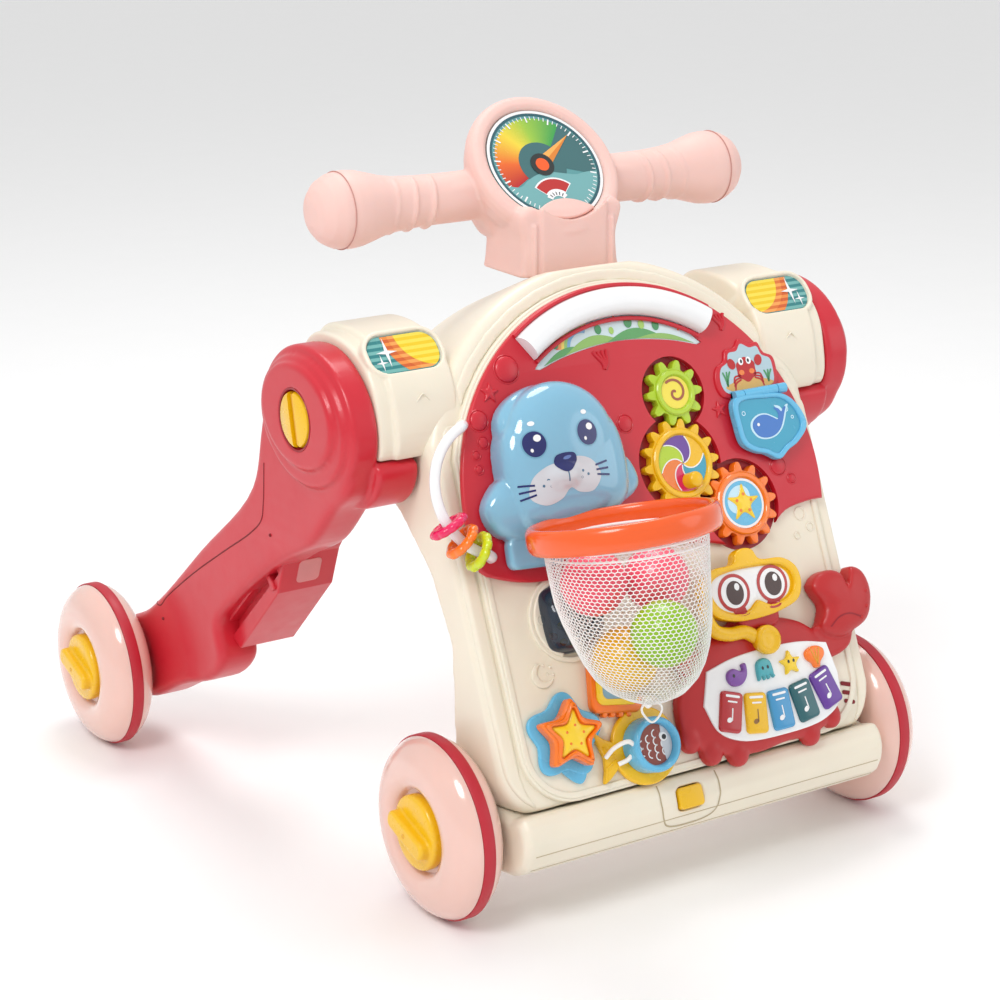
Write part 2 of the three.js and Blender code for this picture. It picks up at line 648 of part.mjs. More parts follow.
function makeCrab() {
  let crab = plate(crabOutline(), GAP, 9, 2);
  const claw = plate(smooth([
    [106, 158], [112, 172], [106, 186], [118, 194], [132, 193], [136, 184], [143, 196],
    [153, 186], [153, 172], [146, 158], [132, 152], [120, 150],
  ], 2), 1, 16, 4);
  const arm = plate(smooth([
    [100, 140], [100, 158], [116, 162], [134, 158], [130, 144], [114, 138],
  ], 2), 1, 9, 2);
  const hidden = plate(smooth([
    [-6, 150], [-14, 160], [-24, 158], [-28, 168], [-22, 182], [-10, 186], [0, 178], [4, 166],
  ], 2), 1, 12, 3);
  crab = joined(crab, claw, arm, hidden);
  keyPlaces().forEach(({ x, y, turn }) => {
    const well = plate(roundedRectangle(0, 0, 18, 27.4, 2.5), KEY_TRAVEL_FLOOR, 20, 0, 1);
    crab = crab.subtract(well.rotate([0, 0, turn]).translate([x, y, 0]));
  });
  BUTTON_X.forEach((x) => {
    crab = crab.subtract(plate(circle(x, BUTTON_Y, 7.4), KEY_TRAVEL_FLOOR, 20, 0, 4));
  });
  crab = crab.subtract(plate(circle(NOSE.x, NOSE.y, NOSE.r + 0.6), 3, 20, 0, 6));
  put('crab_body', crab, RED, panel);
  const mask = plate(smooth([
    [12, 196], [15, 206], [26, 212], [42, 214.5], [52, 220], [60, 219], [68, 213.5], [82, 210],
    [91, 203], [93, 193], [88, 182], [74, 177], [56, 175], [36, 176], [20, 182],
  ], 2), 9 + GAP, 19, 2);
  const neck = plate(roundedRectangle(54, 177, 44, 16, 5), 9 + GAP, 15, 1, 3);
  put('crab_mask', joined(mask, neck), YELLOW, panel);
  put('crab_nose', plate(circle(NOSE.x, NOSE.y, NOSE.r), 7, 20, 2, 6), YELLOW, panel);
}

const BUTTON_Y = 141.5;
const BUTTON_X = [28, 50.5, 72, 93];

function keyPlaces() {
  const places = [];
  for (let i = 0; i < KEY_COUNT; i += 1) {
    const turn = (i - (KEY_COUNT - 1) / 2) * 9;
    places.push({ x: 57 + 128 * Math.sin(rad(turn)), y: 242 - 128 * Math.cos(rad(turn)), turn });
  }
  return places;
}

function makeKeys() {
  const colors = [RED, YELLOW, SKY, TEAL, PURPLE];
  keyPlaces().forEach(({ x, y, turn }, i) => {
    const key = plate(roundedRectangle(0, 0, 17.2, 26.6, 2.5), 4 + GAP, 12, 1.2, 1);
    put(`piano_key_${i + 1}`, key.rotate([0, 0, turn]).translate([x, y, 0]), colors[i], panel);
  });
  const words = ['whale', 'octopus', 'star', 'shell'];
  BUTTON_X.forEach((x, i) => {
    const button = plate(circle(x, BUTTON_Y, 6.8), 4 + GAP, 11.5, 1, 4);
    put(`sound_button_${words[i]}`, button, WHITE, panel);
  });
}

// ---- bead rail on the panel's left side ----
const RAIL = { x: -119, y: 291, r: 43, h: 15 };
const RING_ANGLES = [205, 222, 239];

function makeBeads() {
  const points = [];
  const [from, to] = [102, 258];
  const at = (angle, h) => new THREE.Vector3(
    RAIL.x + RAIL.r * Math.cos(rad(angle)), RAIL.y + RAIL.r * Math.sin(rad(angle)), h);
  points.push(at(from, 5 + GAP), at(from, 9));
  for (let angle = from + 8; angle <= to - 8; angle += 14) points.push(at(angle, RAIL.h));
  points.push(at(to, 9), at(to, 5 + GAP));
  const path = new THREE.CatmullRomCurve3(points);
  const rail = new THREE.ExtrudeGeometry(
    circle(0, 0, 3.4), { steps: 18, curveSegments: 4, extrudePath: path });
  put('bead_rail', solid(rail), CREAM, panel);
  const colors = [PINK, ORANGE, GREEN];
  ['magenta', 'orange', 'lime'].forEach((word, i) => {
    const ring = turned([[4.6, -3], [12, -3], [13.5, 0], [12, 3], [4.6, 3]], 14).rotate([90, 0, 0]);
    const placed = ring.translate([RAIL.r, 0, 0]).rotate([0, 0, RING_ANGLES[i]]);
    put(`bead_ring_${word}`, placed.translate([RAIL.x, RAIL.y, RAIL.h]), colors[i], panel);
  });
}

makeBody();
makeBeam();
makeWheels();
makeArms();
makeShoulders();
makeHandlebar();
makeBoard();
makeDome();
makeCarryHandle();
makeSeal();
makeNet();
makeBalls();
makeGears();
makeDoor();
makeRattle();
makeTurners();
makeCrab();
makeKeys();
makeBeads();

export default walker;
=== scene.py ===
# A folding baby walker with a leaning activity panel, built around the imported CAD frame.
# Lengths in the helpers are millimetres in a local frame, and each piece is placed in metres once.
import json
import math

import bmesh
import bpy
import numpy as np
from mathutils import Matrix, Vector
from mathutils.bvhtree import BVHTree

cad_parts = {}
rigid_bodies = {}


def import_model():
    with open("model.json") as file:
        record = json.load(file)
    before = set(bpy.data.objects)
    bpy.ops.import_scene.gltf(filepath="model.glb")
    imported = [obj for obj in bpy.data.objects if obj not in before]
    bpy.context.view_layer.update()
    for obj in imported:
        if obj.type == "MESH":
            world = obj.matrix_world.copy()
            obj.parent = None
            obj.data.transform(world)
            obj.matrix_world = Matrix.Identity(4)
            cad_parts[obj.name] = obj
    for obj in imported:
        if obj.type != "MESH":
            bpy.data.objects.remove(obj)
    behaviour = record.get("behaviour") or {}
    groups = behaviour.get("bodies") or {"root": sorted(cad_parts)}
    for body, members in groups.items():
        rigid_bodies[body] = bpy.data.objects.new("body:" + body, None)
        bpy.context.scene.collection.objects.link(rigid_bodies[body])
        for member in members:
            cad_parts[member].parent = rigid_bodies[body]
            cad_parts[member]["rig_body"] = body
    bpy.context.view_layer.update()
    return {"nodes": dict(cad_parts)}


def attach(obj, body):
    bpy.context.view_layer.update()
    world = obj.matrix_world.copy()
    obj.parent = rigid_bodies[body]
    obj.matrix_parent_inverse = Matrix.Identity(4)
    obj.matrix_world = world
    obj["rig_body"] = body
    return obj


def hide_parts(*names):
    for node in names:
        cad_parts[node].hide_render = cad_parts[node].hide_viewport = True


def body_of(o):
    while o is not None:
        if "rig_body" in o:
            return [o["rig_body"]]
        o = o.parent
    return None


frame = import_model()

# ---- driving dimensions, in millimetres ----
MM = 0.001
FRONT_AXLE_Y = -152.7
WHEEL_R = 60
PANEL_TILT = math.radians(23.4)
PANEL_FOOT_Y = -92.5
PANEL_C = 269
PANEL_R = 142
PANEL_HALF = 135
PANEL_BOTTOM = 90
DIAL_TILT = math.radians(42)
BAR_Y = 149
BAR_Z = 426
SHOULDER_Y = 108
SHOULDER_Z = 304
BLOCK_IN = 121
BLOCK_OUT = 177.6
ARM_IN = 166
ARM_OUT = 197
WHEELBASE = 376
GEAR_MODULE = 3.9
HOOP_C = (-76, -66, 260)
HOOP_R = 60
DRUM = (-80, 203)
RAIL = (-119, 291)
RAIL_R = 43
RAIL_H = 15

# ---- frames: local millimetres to the row frame in metres ----
WALKER = Matrix.Scale(MM, 4) @ Matrix.Translation((0, FRONT_AXLE_Y, 0))
PANEL = WALKER @ Matrix.Translation((0, PANEL_FOOT_Y, 0)) @ Matrix.Rotation(math.pi / 2 - PANEL_TILT, 4, "X")
DIAL = WALKER @ Matrix.Translation((0, 133.6, 443.6)) @ Matrix.Rotation(math.pi / 2 - DIAL_TILT, 4, "X")
NET_TOP = WALKER @ Matrix.Translation(HOOP_C)
HOOP = (NET_TOP @ Matrix.Rotation(math.radians(-1), 4, "Y") @ Matrix.Rotation(math.radians(-15), 4, "X"))
SIDEWAYS = Matrix(((0, 0, 1, 0), (1, 0, 0, 0), (0, 1, 0, 0), (0, 0, 0, 1)))
ALONG_X = Matrix.Rotation(math.pi / 2, 4, "Y")


def shift(x=0, y=0, z=0, turn=0):
    """A move, after a turn about the local Z in degrees."""
    return Matrix.Translation((x, y, z)) @ Matrix.Rotation(math.radians(turn), 4, "Z")


# ---- materials ----
def colour(hexa, alpha=1.0):
    """The linear colour of a six-digit sRGB code."""
    parts = [int(hexa[i:i + 2], 16) / 255 for i in (0, 2, 4)]
    return tuple(c / 12.92 if c <= 0.04045 else ((c + 0.055) / 1.055) ** 2.4 for c in parts) + (alpha,)


def mixed(tree, kind, a, b, factor):
    """A colour mix of a and b, driven by the socket factor."""
    node = tree.nodes.new("ShaderNodeMix")
    node.data_type = "RGBA"
    node.blend_type = kind
    tree.links.new(factor, node.inputs["Factor"])
    for value, socket in ((a, node.inputs["A"]), (b, node.inputs["B"])):
        if isinstance(value, tuple):
            socket.default_value = value
        else:
            tree.links.new(value, socket)
    return node.outputs["Result"]


def noise(tree, scale, detail=3.0):
    place = tree.nodes.new("ShaderNodeTexCoord")
    node = tree.nodes.new("ShaderNodeTexNoise")
    node.inputs["Scale"].default_value = scale
    node.inputs["Detail"].default_value = detail
    tree.links.new(place.outputs["Object"], node.inputs["Vector"])
    return node.outputs["Fac"]


def ranged(tree, value, low, high):
    node = tree.nodes.new("ShaderNodeMapRange")
    tree.links.new(value, node.inputs["Value"])
    node.inputs["From Min"].default_value = 0.3
    node.inputs["From Max"].default_value = 0.7
    node.inputs["To Min"].default_value = low
    node.inputs["To Max"].default_value = high
    return node.outputs["Result"]


def moulded(name, base, rough=0.35, coat=0.0, grain=0.02, grain_scale=1400, vary=0.05, soft=0.0, sheen=0.0):
    """Moulded plastic: faint colour drift, uneven polish and a fine pressed grain."""
    material = bpy.data.materials.new(name)
    material.use_nodes = True
    tree = material.node_tree
    shader = tree.nodes["Principled BSDF"]
    tone = colour(base) if isinstance(base, str) else base
    dark = tuple(c * (1 - vary) for c in tone[:3]) + (1.0,)
    light = tuple(min(1.0, c * (1 + vary)) for c in tone[:3]) + (1.0,)
    cloud = noise(tree, 22.0)
    tree.links.new(mixed(tree, "MIX", dark, light, cloud), shader.inputs["Base Color"])
    tree.links.new(ranged(tree, noise(tree, 90.0), rough * 0.86, rough * 1.14), shader.inputs["Roughness"])
    bump = tree.nodes.new("ShaderNodeBump")
    bump.inputs["Strength"].default_value = 0.35
    bump.inputs["Distance"].default_value = grain * MM
    tree.links.new(noise(tree, grain_scale, 2.0), bump.inputs["Height"])
    tree.links.new(bump.outputs["Normal"], shader.inputs["Normal"])
    shader.inputs["Coat Weight"].default_value = coat
    shader.inputs["Coat Roughness"].default_value = 0.08
    shader.inputs["Subsurface Weight"].default_value = soft
    shader.inputs["Subsurface Radius"].default_value = (1.0, 0.45, 0.3)
    shader.inputs["Subsurface Scale"].default_value = 0.006
    shader.inputs["Sheen Weight"].default_value = sheen
    return material


def ramped(name, stops, rough=0.25, coat=0.4):
    """A printed fade that runs along the U of the piece's own UV map."""
    material = moulded(name, stops[0][1], rough, coat)
    tree = material.node_tree
    uv = tree.nodes.new("ShaderNodeUVMap")
    split = tree.nodes.new("ShaderNodeSeparateXYZ")
    ramp = tree.nodes.new("ShaderNodeValToRGB")
    while len(ramp.color_ramp.elements) < len(stops):
        ramp.color_ramp.elements.new(0.5)
    for element, (place, code) in zip(ramp.color_ramp.elements, stops):
        element.position = place
        element.color = colour(code)
    tree.links.new(uv.outputs["UV"], split.inputs["Vector"])
    tree.links.new(split.outputs["X"], ramp.inputs["Fac"])
    tree.links.new(ramp.outputs["Color"], tree.nodes["Principled BSDF"].inputs["Base Color"])
    return material


def striped(name, first, second, pitch, rough=0.25):
    """Printed stripes across the piece's own UV map, with pitch in millimetres."""
    material = moulded(name, first, rough, 0.4)
    tree = material.node_tree
    uv = tree.nodes.new("ShaderNodeUVMap")
    wave = tree.nodes.new("ShaderNodeTexWave")
    wave.wave_type = "BANDS"
    wave.bands_direction = "Y"
    wave.inputs["Scale"].default_value = 0.31416 / pitch
    ramp = tree.nodes.new("ShaderNodeValToRGB")
    ramp.color_ramp.elements[0].position = 0.42
    ramp.color_ramp.elements[1].position = 0.58
    ramp.color_ramp.elements[0].color = colour(first)
    ramp.color_ramp.elements[1].color = colour(second)
    tree.links.new(uv.outputs["UV"], wave.inputs["Vector"])
    tree.links.new(wave.outputs["Fac"], ramp.inputs["Fac"])
    tree.links.new(ramp.outputs["Color"], tree.nodes["Principled BSDF"].inputs["Base Color"])
    return material


def tinted(name, base, rough=0.06):
    """Clear tinted plastic."""
    material = moulded(name, base, rough, 0.6)
    shader = material.node_tree.nodes["Principled BSDF"]
    shader.inputs["Transmission Weight"].default_value = 0.72
    shader.inputs["IOR"].default_value = 1.3
    return material


def metal(name, base, rough=0.3):
    material = moulded(name, base, rough, grain=0.01)
    material.node_tree.nodes["Principled BSDF"].inputs["Metallic"].default_value = 1.0
    return material


def cloth(name, base):
    """Knitted white yarn."""
    return moulded(name, base, 0.85, grain=0.12, grain_scale=2600, vary=0.06, sheen=0.5)


CREAM = moulded("cream_plastic", "ebe2cf", 0.36, 0.15, soft=0.08)
CREAM_SHADE = moulded("cream_shadow_line", "b9a888", 0.5)
RED = moulded("red_plastic", "c81e2f", 0.34, 0.15)
# Darker red for painted shade: the floors of recesses and the crease on the crab's claw.
RED_RECESS_SHADE = moulded("red_recess_shade", "960f1f", 0.42)
# Dark red for painted shade lines, where the arm steps down to the bracket and in the grille's slots; also
# two small dots on each wheel.
RED_SEAM_SHADE = moulded("red_seam_shade", "7c0d18", 0.6)
CRAB_RED = moulded("crab_red", "b81f22", 0.4, 0.1)
WHEEL_PINK = moulded("wheel_pink", "e8bfb3", 0.16, 0.7, grain=0.008, soft=0.12)
TREAD = moulded("wheel_tread", "b81f30", 0.5, grain=0.05, grain_scale=2200)
BAR_PINK = moulded("handlebar_pink", "ebc3ba", 0.55, grain=0.05, grain_scale=2000, soft=0.15)
BAR_LINE = moulded("handlebar_line", "c58f86", 0.6)
YELLOW = moulded("yellow_plastic", "eebb06", 0.28, 0.3)
YELLOW_DEEP = moulded("yellow_deep", "dd9e08", 0.35, 0.2)
ORANGE = moulded("orange_plastic", "ee5a12", 0.22, 0.5)
WHITE = moulded("white_plastic", "f0f1f2", 0.24, 0.4)
SEAL_BLUE = moulded("seal_blue", "7db4cf", 0.1, 0.9, grain=0.006, soft=0.06)
NAVY = moulded("navy_print", "0b1660", 0.18, 0.5)
GREY = moulded("grey_print", "c9cdd3", 0.2, 0.5)
SKY = moulded("sky_plastic", "5fb6de", 0.26, 0.4)
SKY_DEEP = moulded("sky_deep", "2f9dbd", 0.25, 0.4)
GREEN = moulded("green_plastic", "b1d02a", 0.28, 0.3)
LIME = moulded("lime_plastic", "c8d81a", 0.2, 0.4, soft=0.2)
MAGENTA = moulded("magenta_plastic", "e2125c", 0.16, 0.5, soft=0.2)
RING_ORANGE = moulded("ring_orange", "fb7a14", 0.16, 0.5, soft=0.2)
BLACK = moulded("black_print", "15171c", 0.3, 0.3)
BROWN = moulded("brown_print", "3a1d19", 0.25, 0.4)
STEEL = metal("axle_steel", "b9bdc2")
NET = cloth("net_yarn", "f6f5f3")
SMOKE = tinted("smoke_plastic", "33465e")


# ---- outlines: closed lists of flat points ----
def oval(cx, cy, rx, ry=None, count=56, turn=0.0):
    ry = rx if ry is None else ry
    a = np.linspace(0, 2 * math.pi, count, endpoint=False)
    c, s = math.cos(math.radians(turn)), math.sin(math.radians(turn))
    x, y = rx * np.cos(a), ry * np.sin(a)
    return np.column_stack([cx + x * c - y * s, cy + x * s + y * c])


def rounded(cx, cy, width, height, radius, turn=0.0, steps=7):
    points = []
    corners = ((1, 1, 0), (-1, 1, 90), (-1, -1, 180), (1, -1, 270))
    for sx, sy, start in corners:
        for a in np.linspace(start, start + 90, steps):
            t = math.radians(a)
            points.append((sx * (width / 2 - radius) + radius * math.cos(t),
                           sy * (height / 2 - radius) + radius * math.sin(t)))
    p = np.array(points)
    c, s = math.cos(math.radians(turn)), math.sin(math.radians(turn))
    return np.column_stack([cx + p[:, 0] * c - p[:, 1] * s, cy + p[:, 0] * s + p[:, 1] * c])


def smooth(points, steps=8):
    """A closed centripetal Catmull-Rom line through the points."""
    p = np.array(points, float)
    made = []
    count = len(p)
    for i in range(count):
        a, b, c, d = p[i - 1], p[i], p[(i + 1) % count], p[(i + 2) % count]
        made.extend(segment(a, b, c, d, steps))
    return np.array(made)


def segment(a, b, c, d, steps):
    k0 = 0.0
    k1 = k0 + max(np.linalg.norm(b - a), 1e-6) ** 0.5
    k2 = k1 + max(np.linalg.norm(c - b), 1e-6) ** 0.5
    k3 = k2 + max(np.linalg.norm(d - c), 1e-6) ** 0.5
    made = []
    for t in np.linspace(k1, k2, steps, endpoint=False):
        ab = (k1 - t) / (k1 - k0) * a + (t - k0) / (k1 - k0) * b
        bc = (k2 - t) / (k2 - k1) * b + (t - k1) / (k2 - k1) * c
        cd = (k3 - t) / (k3 - k2) * c + (t - k2) / (k3 - k2) * d
        abc = (k2 - t) / (k2 - k0) * ab + (t - k0) / (k2 - k0) * bc
        bcd = (k3 - t) / (k3 - k1) * bc + (t - k1) / (k3 - k1) * cd
        made.append((k2 - t) / (k2 - k1) * abc + (t - k1) / (k2 - k1) * bcd)
    return made


def open_line(points, steps=8):
    """A smooth open line through the points."""
    p = [np.array(q, float) for q in points]
    ends = [2 * p[0] - p[1], *p, 2 * p[-1] - p[-2]]
    made = []
    for i in range(1, len(ends) - 2):
        made.extend(segment(ends[i - 1], ends[i], ends[i + 1], ends[i + 2], steps))
    made.append(p[-1])
    return np.array(made)


def star(cx, cy, outer, inner, turn=90.0, points=5, steps=5):
    corners = []
    for i in range(2 * points):
        a = math.radians(turn + i * 180 / points)
        r = outer if i % 2 == 0 else inner
        corners.append((cx + r * math.cos(a), cy + r * math.sin(a)))
    return smooth(corners, steps)


def petals(cx, cy, radius, depth, count=5, turn=90.0, points=90):
    """A round outline with soft lobes."""
    a = np.linspace(0, 2 * math.pi, points, endpoint=False)
    r = radius + depth * np.cos(count * (a - math.radians(turn)))
    return np.column_stack([cx + r * np.cos(a), cy + r * np.sin(a)])


def arch(half, bottom, top_radius, corner, steps=10):
    """The panel's outline: straight sides, round lower corners and a round top."""
    reach = math.sqrt(top_radius ** 2 - half ** 2)
    start = math.atan2(reach, half)
    points = [(half - corner + corner * math.cos(a), bottom + corner + corner * math.sin(a))
              for a in np.linspace(-math.pi / 2, 0, steps)]
    points += [(top_radius * math.cos(a), PANEL_C + top_radius * math.sin(a))
               for a in np.linspace(start, math.pi - start, 8 * steps)]
    points += [(-half + corner + corner * math.cos(a), bottom + corner + corner * math.sin(a))
               for a in np.linspace(math.pi, 1.5 * math.pi, steps)]
    return np.array(points)


# ---- shapes: (points, faces, uv or None) ----
def plate(loops, low, high, bevel=0.0, steps=3):
    """A flat outline, with holes if there are more loops, from height low to high, with round edges."""
    loops = [loops] if isinstance(loops, np.ndarray) else loops
    curve = bpy.data.curves.new("outline", "CURVE")
    curve.dimensions = "2D"
    curve.fill_mode = "BOTH"
    curve.extrude = (high - low) / 2 - bevel
    curve.bevel_depth = bevel
    curve.bevel_resolution = steps
    curve.offset = -bevel
    for loop in loops:
        spline = curve.splines.new("POLY")
        spline.points.add(len(loop) - 1)
        for point, (x, y) in zip(spline.points, loop):
            point.co = (x, y, 0, 1)
        spline.use_cyclic_u = True
    holder = bpy.data.objects.new("outline", curve)
    mesh = holder.to_mesh()
    bm = bmesh.new()
    bm.from_mesh(mesh)
    bmesh.ops.remove_doubles(bm, verts=bm.verts, dist=0.002)
    points = np.array([tuple(v.co) for v in bm.verts]).reshape(-1, 3)
    points[:, 2] += (low + high) / 2
    faces = [[v.index for v in f.verts] for f in bm.faces]
    bm.free()
    holder.to_mesh_clear()
    bpy.data.objects.remove(holder)
    bpy.data.curves.remove(curve)
    return points, faces, points[:, :2].copy()


def lathe(profile, count=96, closed=False):
    """A solid of revolution about the local Z from (radius, height) points."""
    profile = list(profile)
    points, rings = [], []
    for r, h in profile:
        if r < 1e-6:
            rings.append([len(points)])
            points.append((0, 0, h))
        else:
            first = len(points)
            rings.append(list(range(first, first + count)))
            for i in range(count):
                a = 2 * math.pi * i / count
                points.append((r * math.cos(a), r * math.sin(a), h))
    faces = []
    pairs = list(zip(rings, rings[1:])) + ([(rings[-1], rings[0])] if closed else [])
    for low, high in pairs:
        for i in range(count):
            j = (i + 1) % count
            if len(low) == 1 and len(high) > 1:
                faces.append([low[0], high[j], high[i]])
            elif len(high) == 1 and len(low) > 1:
                faces.append([low[i], low[j], high[0]])
            elif len(low) > 1:
                faces.append([low[i], low[j], high[j], high[i]])
    return np.array(points, float), faces, None


def tube(path, radius, sides=12, closed=False):
    """A round tube along the path. The radius may change along it."""
    path = np.array(path, float)
    count = len(path)
    radii = np.full(count, radius) if np.isscalar(radius) else np.array(radius, float)
    ahead = np.roll(path, -1, 0) - np.roll(path, 1, 0)
    if not closed:
        ahead[0] = path[1] - path[0]
        ahead[-1] = path[-1] - path[-2]
    ahead /= np.linalg.norm(ahead, axis=1)[:, None]
    side = np.cross(ahead[0], (0.3, 0.2, 0.9))
    side /= np.linalg.norm(side)
    points = []
    for p, d, r in zip(path, ahead, radii):
        side = side - d * (side @ d)
        side /= np.linalg.norm(side)
        up = np.cross(d, side)
        for i in range(sides):
            a = 2 * math.pi * i / sides
            points.append(p + r * (math.cos(a) * side + math.sin(a) * up))
    faces = []
    for k in range(count if closed else count - 1):
        for i in range(sides):
            j, n = (i + 1) % sides, (k + 1) % count
            faces.append([k * sides + i, k * sides + j, n * sides + j, n * sides + i])
    if not closed:
        faces.append(list(range(sides))[::-1])
        faces.append(list(range((count - 1) * sides, count * sides)))
    return np.array(points), faces, None


def ball(centre, radius, rows=18, count=28, squash=(1, 1, 1)):
    profile = [(radius * math.sin(a), -radius * math.cos(a)) for a in np.linspace(0, math.pi, rows)]
    profile[0], profile[-1] = (0, -radius), (0, radius)
    points, faces, _ = lathe(profile, count)
    return points * np.array(squash) + np.array(centre), faces, None


def domed(outline, low, edge, top, power=2.4, rings=12, centre=None):
    """A cushion-like cap on a star-shaped outline: a straight wall to edge, then a swell to top."""
    outline = np.array(outline, float)
    middle = outline.mean(0) if centre is None else np.array(centre, float)
    count = len(outline)
    loops = [(1.0, low), (1.0, edge)]
    for t in np.linspace(0, math.pi / 2, rings)[1:-1]:
        scale = math.cos(t)
        loops.append((scale, edge + (top - edge) * (1 - scale ** power) ** (1 / power)))
    points = []
    for scale, h in loops:
        flat = middle + (outline - middle) * scale
        points.extend([(x, y, h) for x, y in flat])
    faces = []
    for k in range(len(loops) - 1):
        for i in range(count):
            j = (i + 1) % count
            faces.append([k * count + i, k * count + j, (k + 1) * count + j, (k + 1) * count + i])
    points.append((*middle, top))
    tip, last = len(points) - 1, (len(loops) - 1) * count
    faces += [[last + i, last + (i + 1) % count, tip] for i in range(count)]
    faces.append(list(range(count))[::-1])
    return np.array(points), faces, None


def band(inner, outer, start, end, h, steps=48, centre=(0, 0)):
    """A flat ring sector whose U runs from 0 to 1 along it."""
    points, uv = [], []
    for t in np.linspace(0, 1, steps):
        a = math.radians(start + (end - start) * t)
        for r in (inner, outer):
            points.append((centre[0] + r * math.cos(a), centre[1] + r * math.sin(a), h))
            uv.append((t, (r - inner) / (outer - inner)))
    faces = [[2 * i, 2 * i + 1, 2 * i + 3, 2 * i + 2] for i in range(steps - 1)]
    return np.array(points), faces, np.array(uv)


def ribbon(line, width, low, high):
    """A narrow raised stroke along a flat line, with round ends."""
    line = np.array(line, float)[:, :2]
    ahead = np.gradient(line, axis=0)
    ahead /= np.maximum(np.linalg.norm(ahead, axis=1), 1e-9)[:, None]
    across = np.column_stack([-ahead[:, 1], ahead[:, 0]])
    left, right = line + across * width / 2, line - across * width / 2
    a = math.atan2(across[0, 1], across[0, 0])
    b = math.atan2(-across[-1, 1], -across[-1, 0])
    start = [line[0] + width / 2 * np.array((math.cos(a + t), math.sin(a + t)))
             for t in np.linspace(0, math.pi, 5)[1:-1]]
    end = [line[-1] + width / 2 * np.array((math.cos(b + t), math.sin(b + t)))
           for t in np.linspace(0, math.pi, 5)[1:-1]]
    outline = np.array([*left[::-1], *start, *right, *end])
    return plate(outline, low, high)


def moved(shape, matrix):
    points, faces, uv = shape
    m = np.array(matrix)
    return points @ m[:3, :3].T + m[:3, 3], faces, uv


# ---- pieces ----
class Piece:
    """Gathers shapes in one local frame and becomes one object that rides on a CAD body."""

    def __init__(self, name, body, place=PANEL, replaces=(), slot=None):
        self.name, self.body, self.place = name, body, place
        self.replaces = [replaces] if isinstance(replaces, str) else list(replaces)
        self.slot = slot
        self.points, self.faces, self.uv, self.face_material, self.materials = [], [], [], [], []

    def add(self, shape, material, at=None):
        points, faces, uv = shape if at is None else moved(shape, at)
        if material not in self.materials:
            self.materials.append(material)
        first = len(self.points)
        self.points.extend(points.tolist())
        self.uv.extend(uv.tolist() if uv is not None else [(0.0, 0.0)] * len(points))
        self.faces.extend([[first + i for i in f] for f in faces])
        self.face_material.extend([self.materials.index(material)] * len(faces))
        return self

    def mesh(self):
        mesh = bpy.data.meshes.new(self.name)
        matrix = np.array(self.place)
        points = np.array(self.points) @ matrix[:3, :3].T + matrix[:3, 3]
        mesh.from_pydata(points.tolist(), [], self.faces)
        mesh.polygons.foreach_set("material_index", self.face_material)
        layer = mesh.uv_layers.new(name="UVMap")
        corner = np.zeros(len(mesh.loops), np.int32)
        mesh.loops.foreach_get("vertex_index", corner)
        layer.data.foreach_set("uv", np.array(self.uv, np.float32)[corner].ravel())
        bm = bmesh.new()
        bm.from_mesh(mesh)
        bmesh.ops.recalc_face_normals(bm, faces=bm.faces)
        bm.to_mesh(mesh)
        bm.free()
        return mesh

    def build(self, sharp=38, fuse=0.0, soften=6, cut=()):
        """Makes the object. With fuse, the shapes melt into one skin of that grain in millimetres."""
        mesh = self.mesh()
        obj = bpy.data.objects.new(self.name, mesh)
        bpy.context.scene.collection.objects.link(obj)
        for cutter in cut:
            carve(obj, cutter.mesh())
        if fuse:
            remesh(obj, fuse * MM, soften)
        for material in self.materials:
            obj.data.materials.append(material)
        obj.data.polygons.foreach_set("use_smooth", [True] * len(obj.data.polygons))
        if not fuse:
            obj.data.set_sharp_from_angle(angle=math.radians(sharp))
        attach(obj, self.body)
        if self.replaces:
            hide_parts(*self.replaces)
        return obj


def baked(obj):
    """Replaces the object's mesh by what its modifiers make of it."""
    bpy.context.view_layer.update()
    done = obj.evaluated_get(bpy.context.evaluated_depsgraph_get())
    mesh = bpy.data.meshes.new_from_object(done)
    obj.modifiers.clear()
    old = obj.data
    obj.data = mesh
    bpy.data.meshes.remove(old)


def remesh(obj, size, soften):
    skin = obj.modifiers.new("skin", "REMESH")
    skin.mode = "VOXEL"
    skin.voxel_size = size
    if soften:
        relax = obj.modifiers.new("relax", "SMOOTH")
        relax.factor = 0.5
        relax.iterations = soften
    baked(obj)


def carve(obj, mesh):
    """Takes the mesh's solid out of the object."""
    knife = bpy.data.objects.new("knife", mesh)
    bpy.context.scene.collection.objects.link(knife)
    cut = obj.modifiers.new("cut", "BOOLEAN")
    cut.object = knife
    cut.solver = "EXACT"
    cut.use_self = True
    baked(obj)
    bpy.data.objects.remove(knife)


class Surface:
    """Finds the height of a finished object's skin in a local frame, so that a print can lie on it."""

    def __init__(self, obj, place=PANEL):
        self.tree = BVHTree.FromObject(obj, bpy.context.evaluated_depsgraph_get())
        self.place = place
        self.back = place.inverted()
        self.down = (place.to_3x3() @ Vector((0, 0, -1))).normalized()

    def height(self, x, y, fallback, start=80):
        hit = self.tree.ray_cast(self.place @ Vector((x, y, start)), self.down)[0]
        return fallback if hit is None else (self.back @ hit).z


def printed(outline, surface, lift=0.18, rings=5, fallback=10.0, centre=None):
    """A thin printed patch that follows the surface below it."""
    outline = np.array(outline, float)
    middle = outline.mean(0) if centre is None else np.array(centre, float)
    count = len(outline)
    flat = [middle + (outline - middle) * s for s in np.linspace(1, 0, rings + 1)[:-1]]
    places = [tuple(p) for loop in flat for p in loop] + [tuple(middle)]
    points = [(x, y, surface.height(x, y, fallback) + lift) for x, y in places]
    faces = []
    for k in range(rings - 1):
        for i in range(count):
            j = (i + 1) % count
            faces.append([k * count + i, k * count + j, (k + 1) * count + j, (k + 1) * count + i])
    last = (rings - 1) * count
    faces += [[last + i, last + (i + 1) % count, len(points) - 1] for i in range(count)]
    return np.array(points), faces, np.array(places)


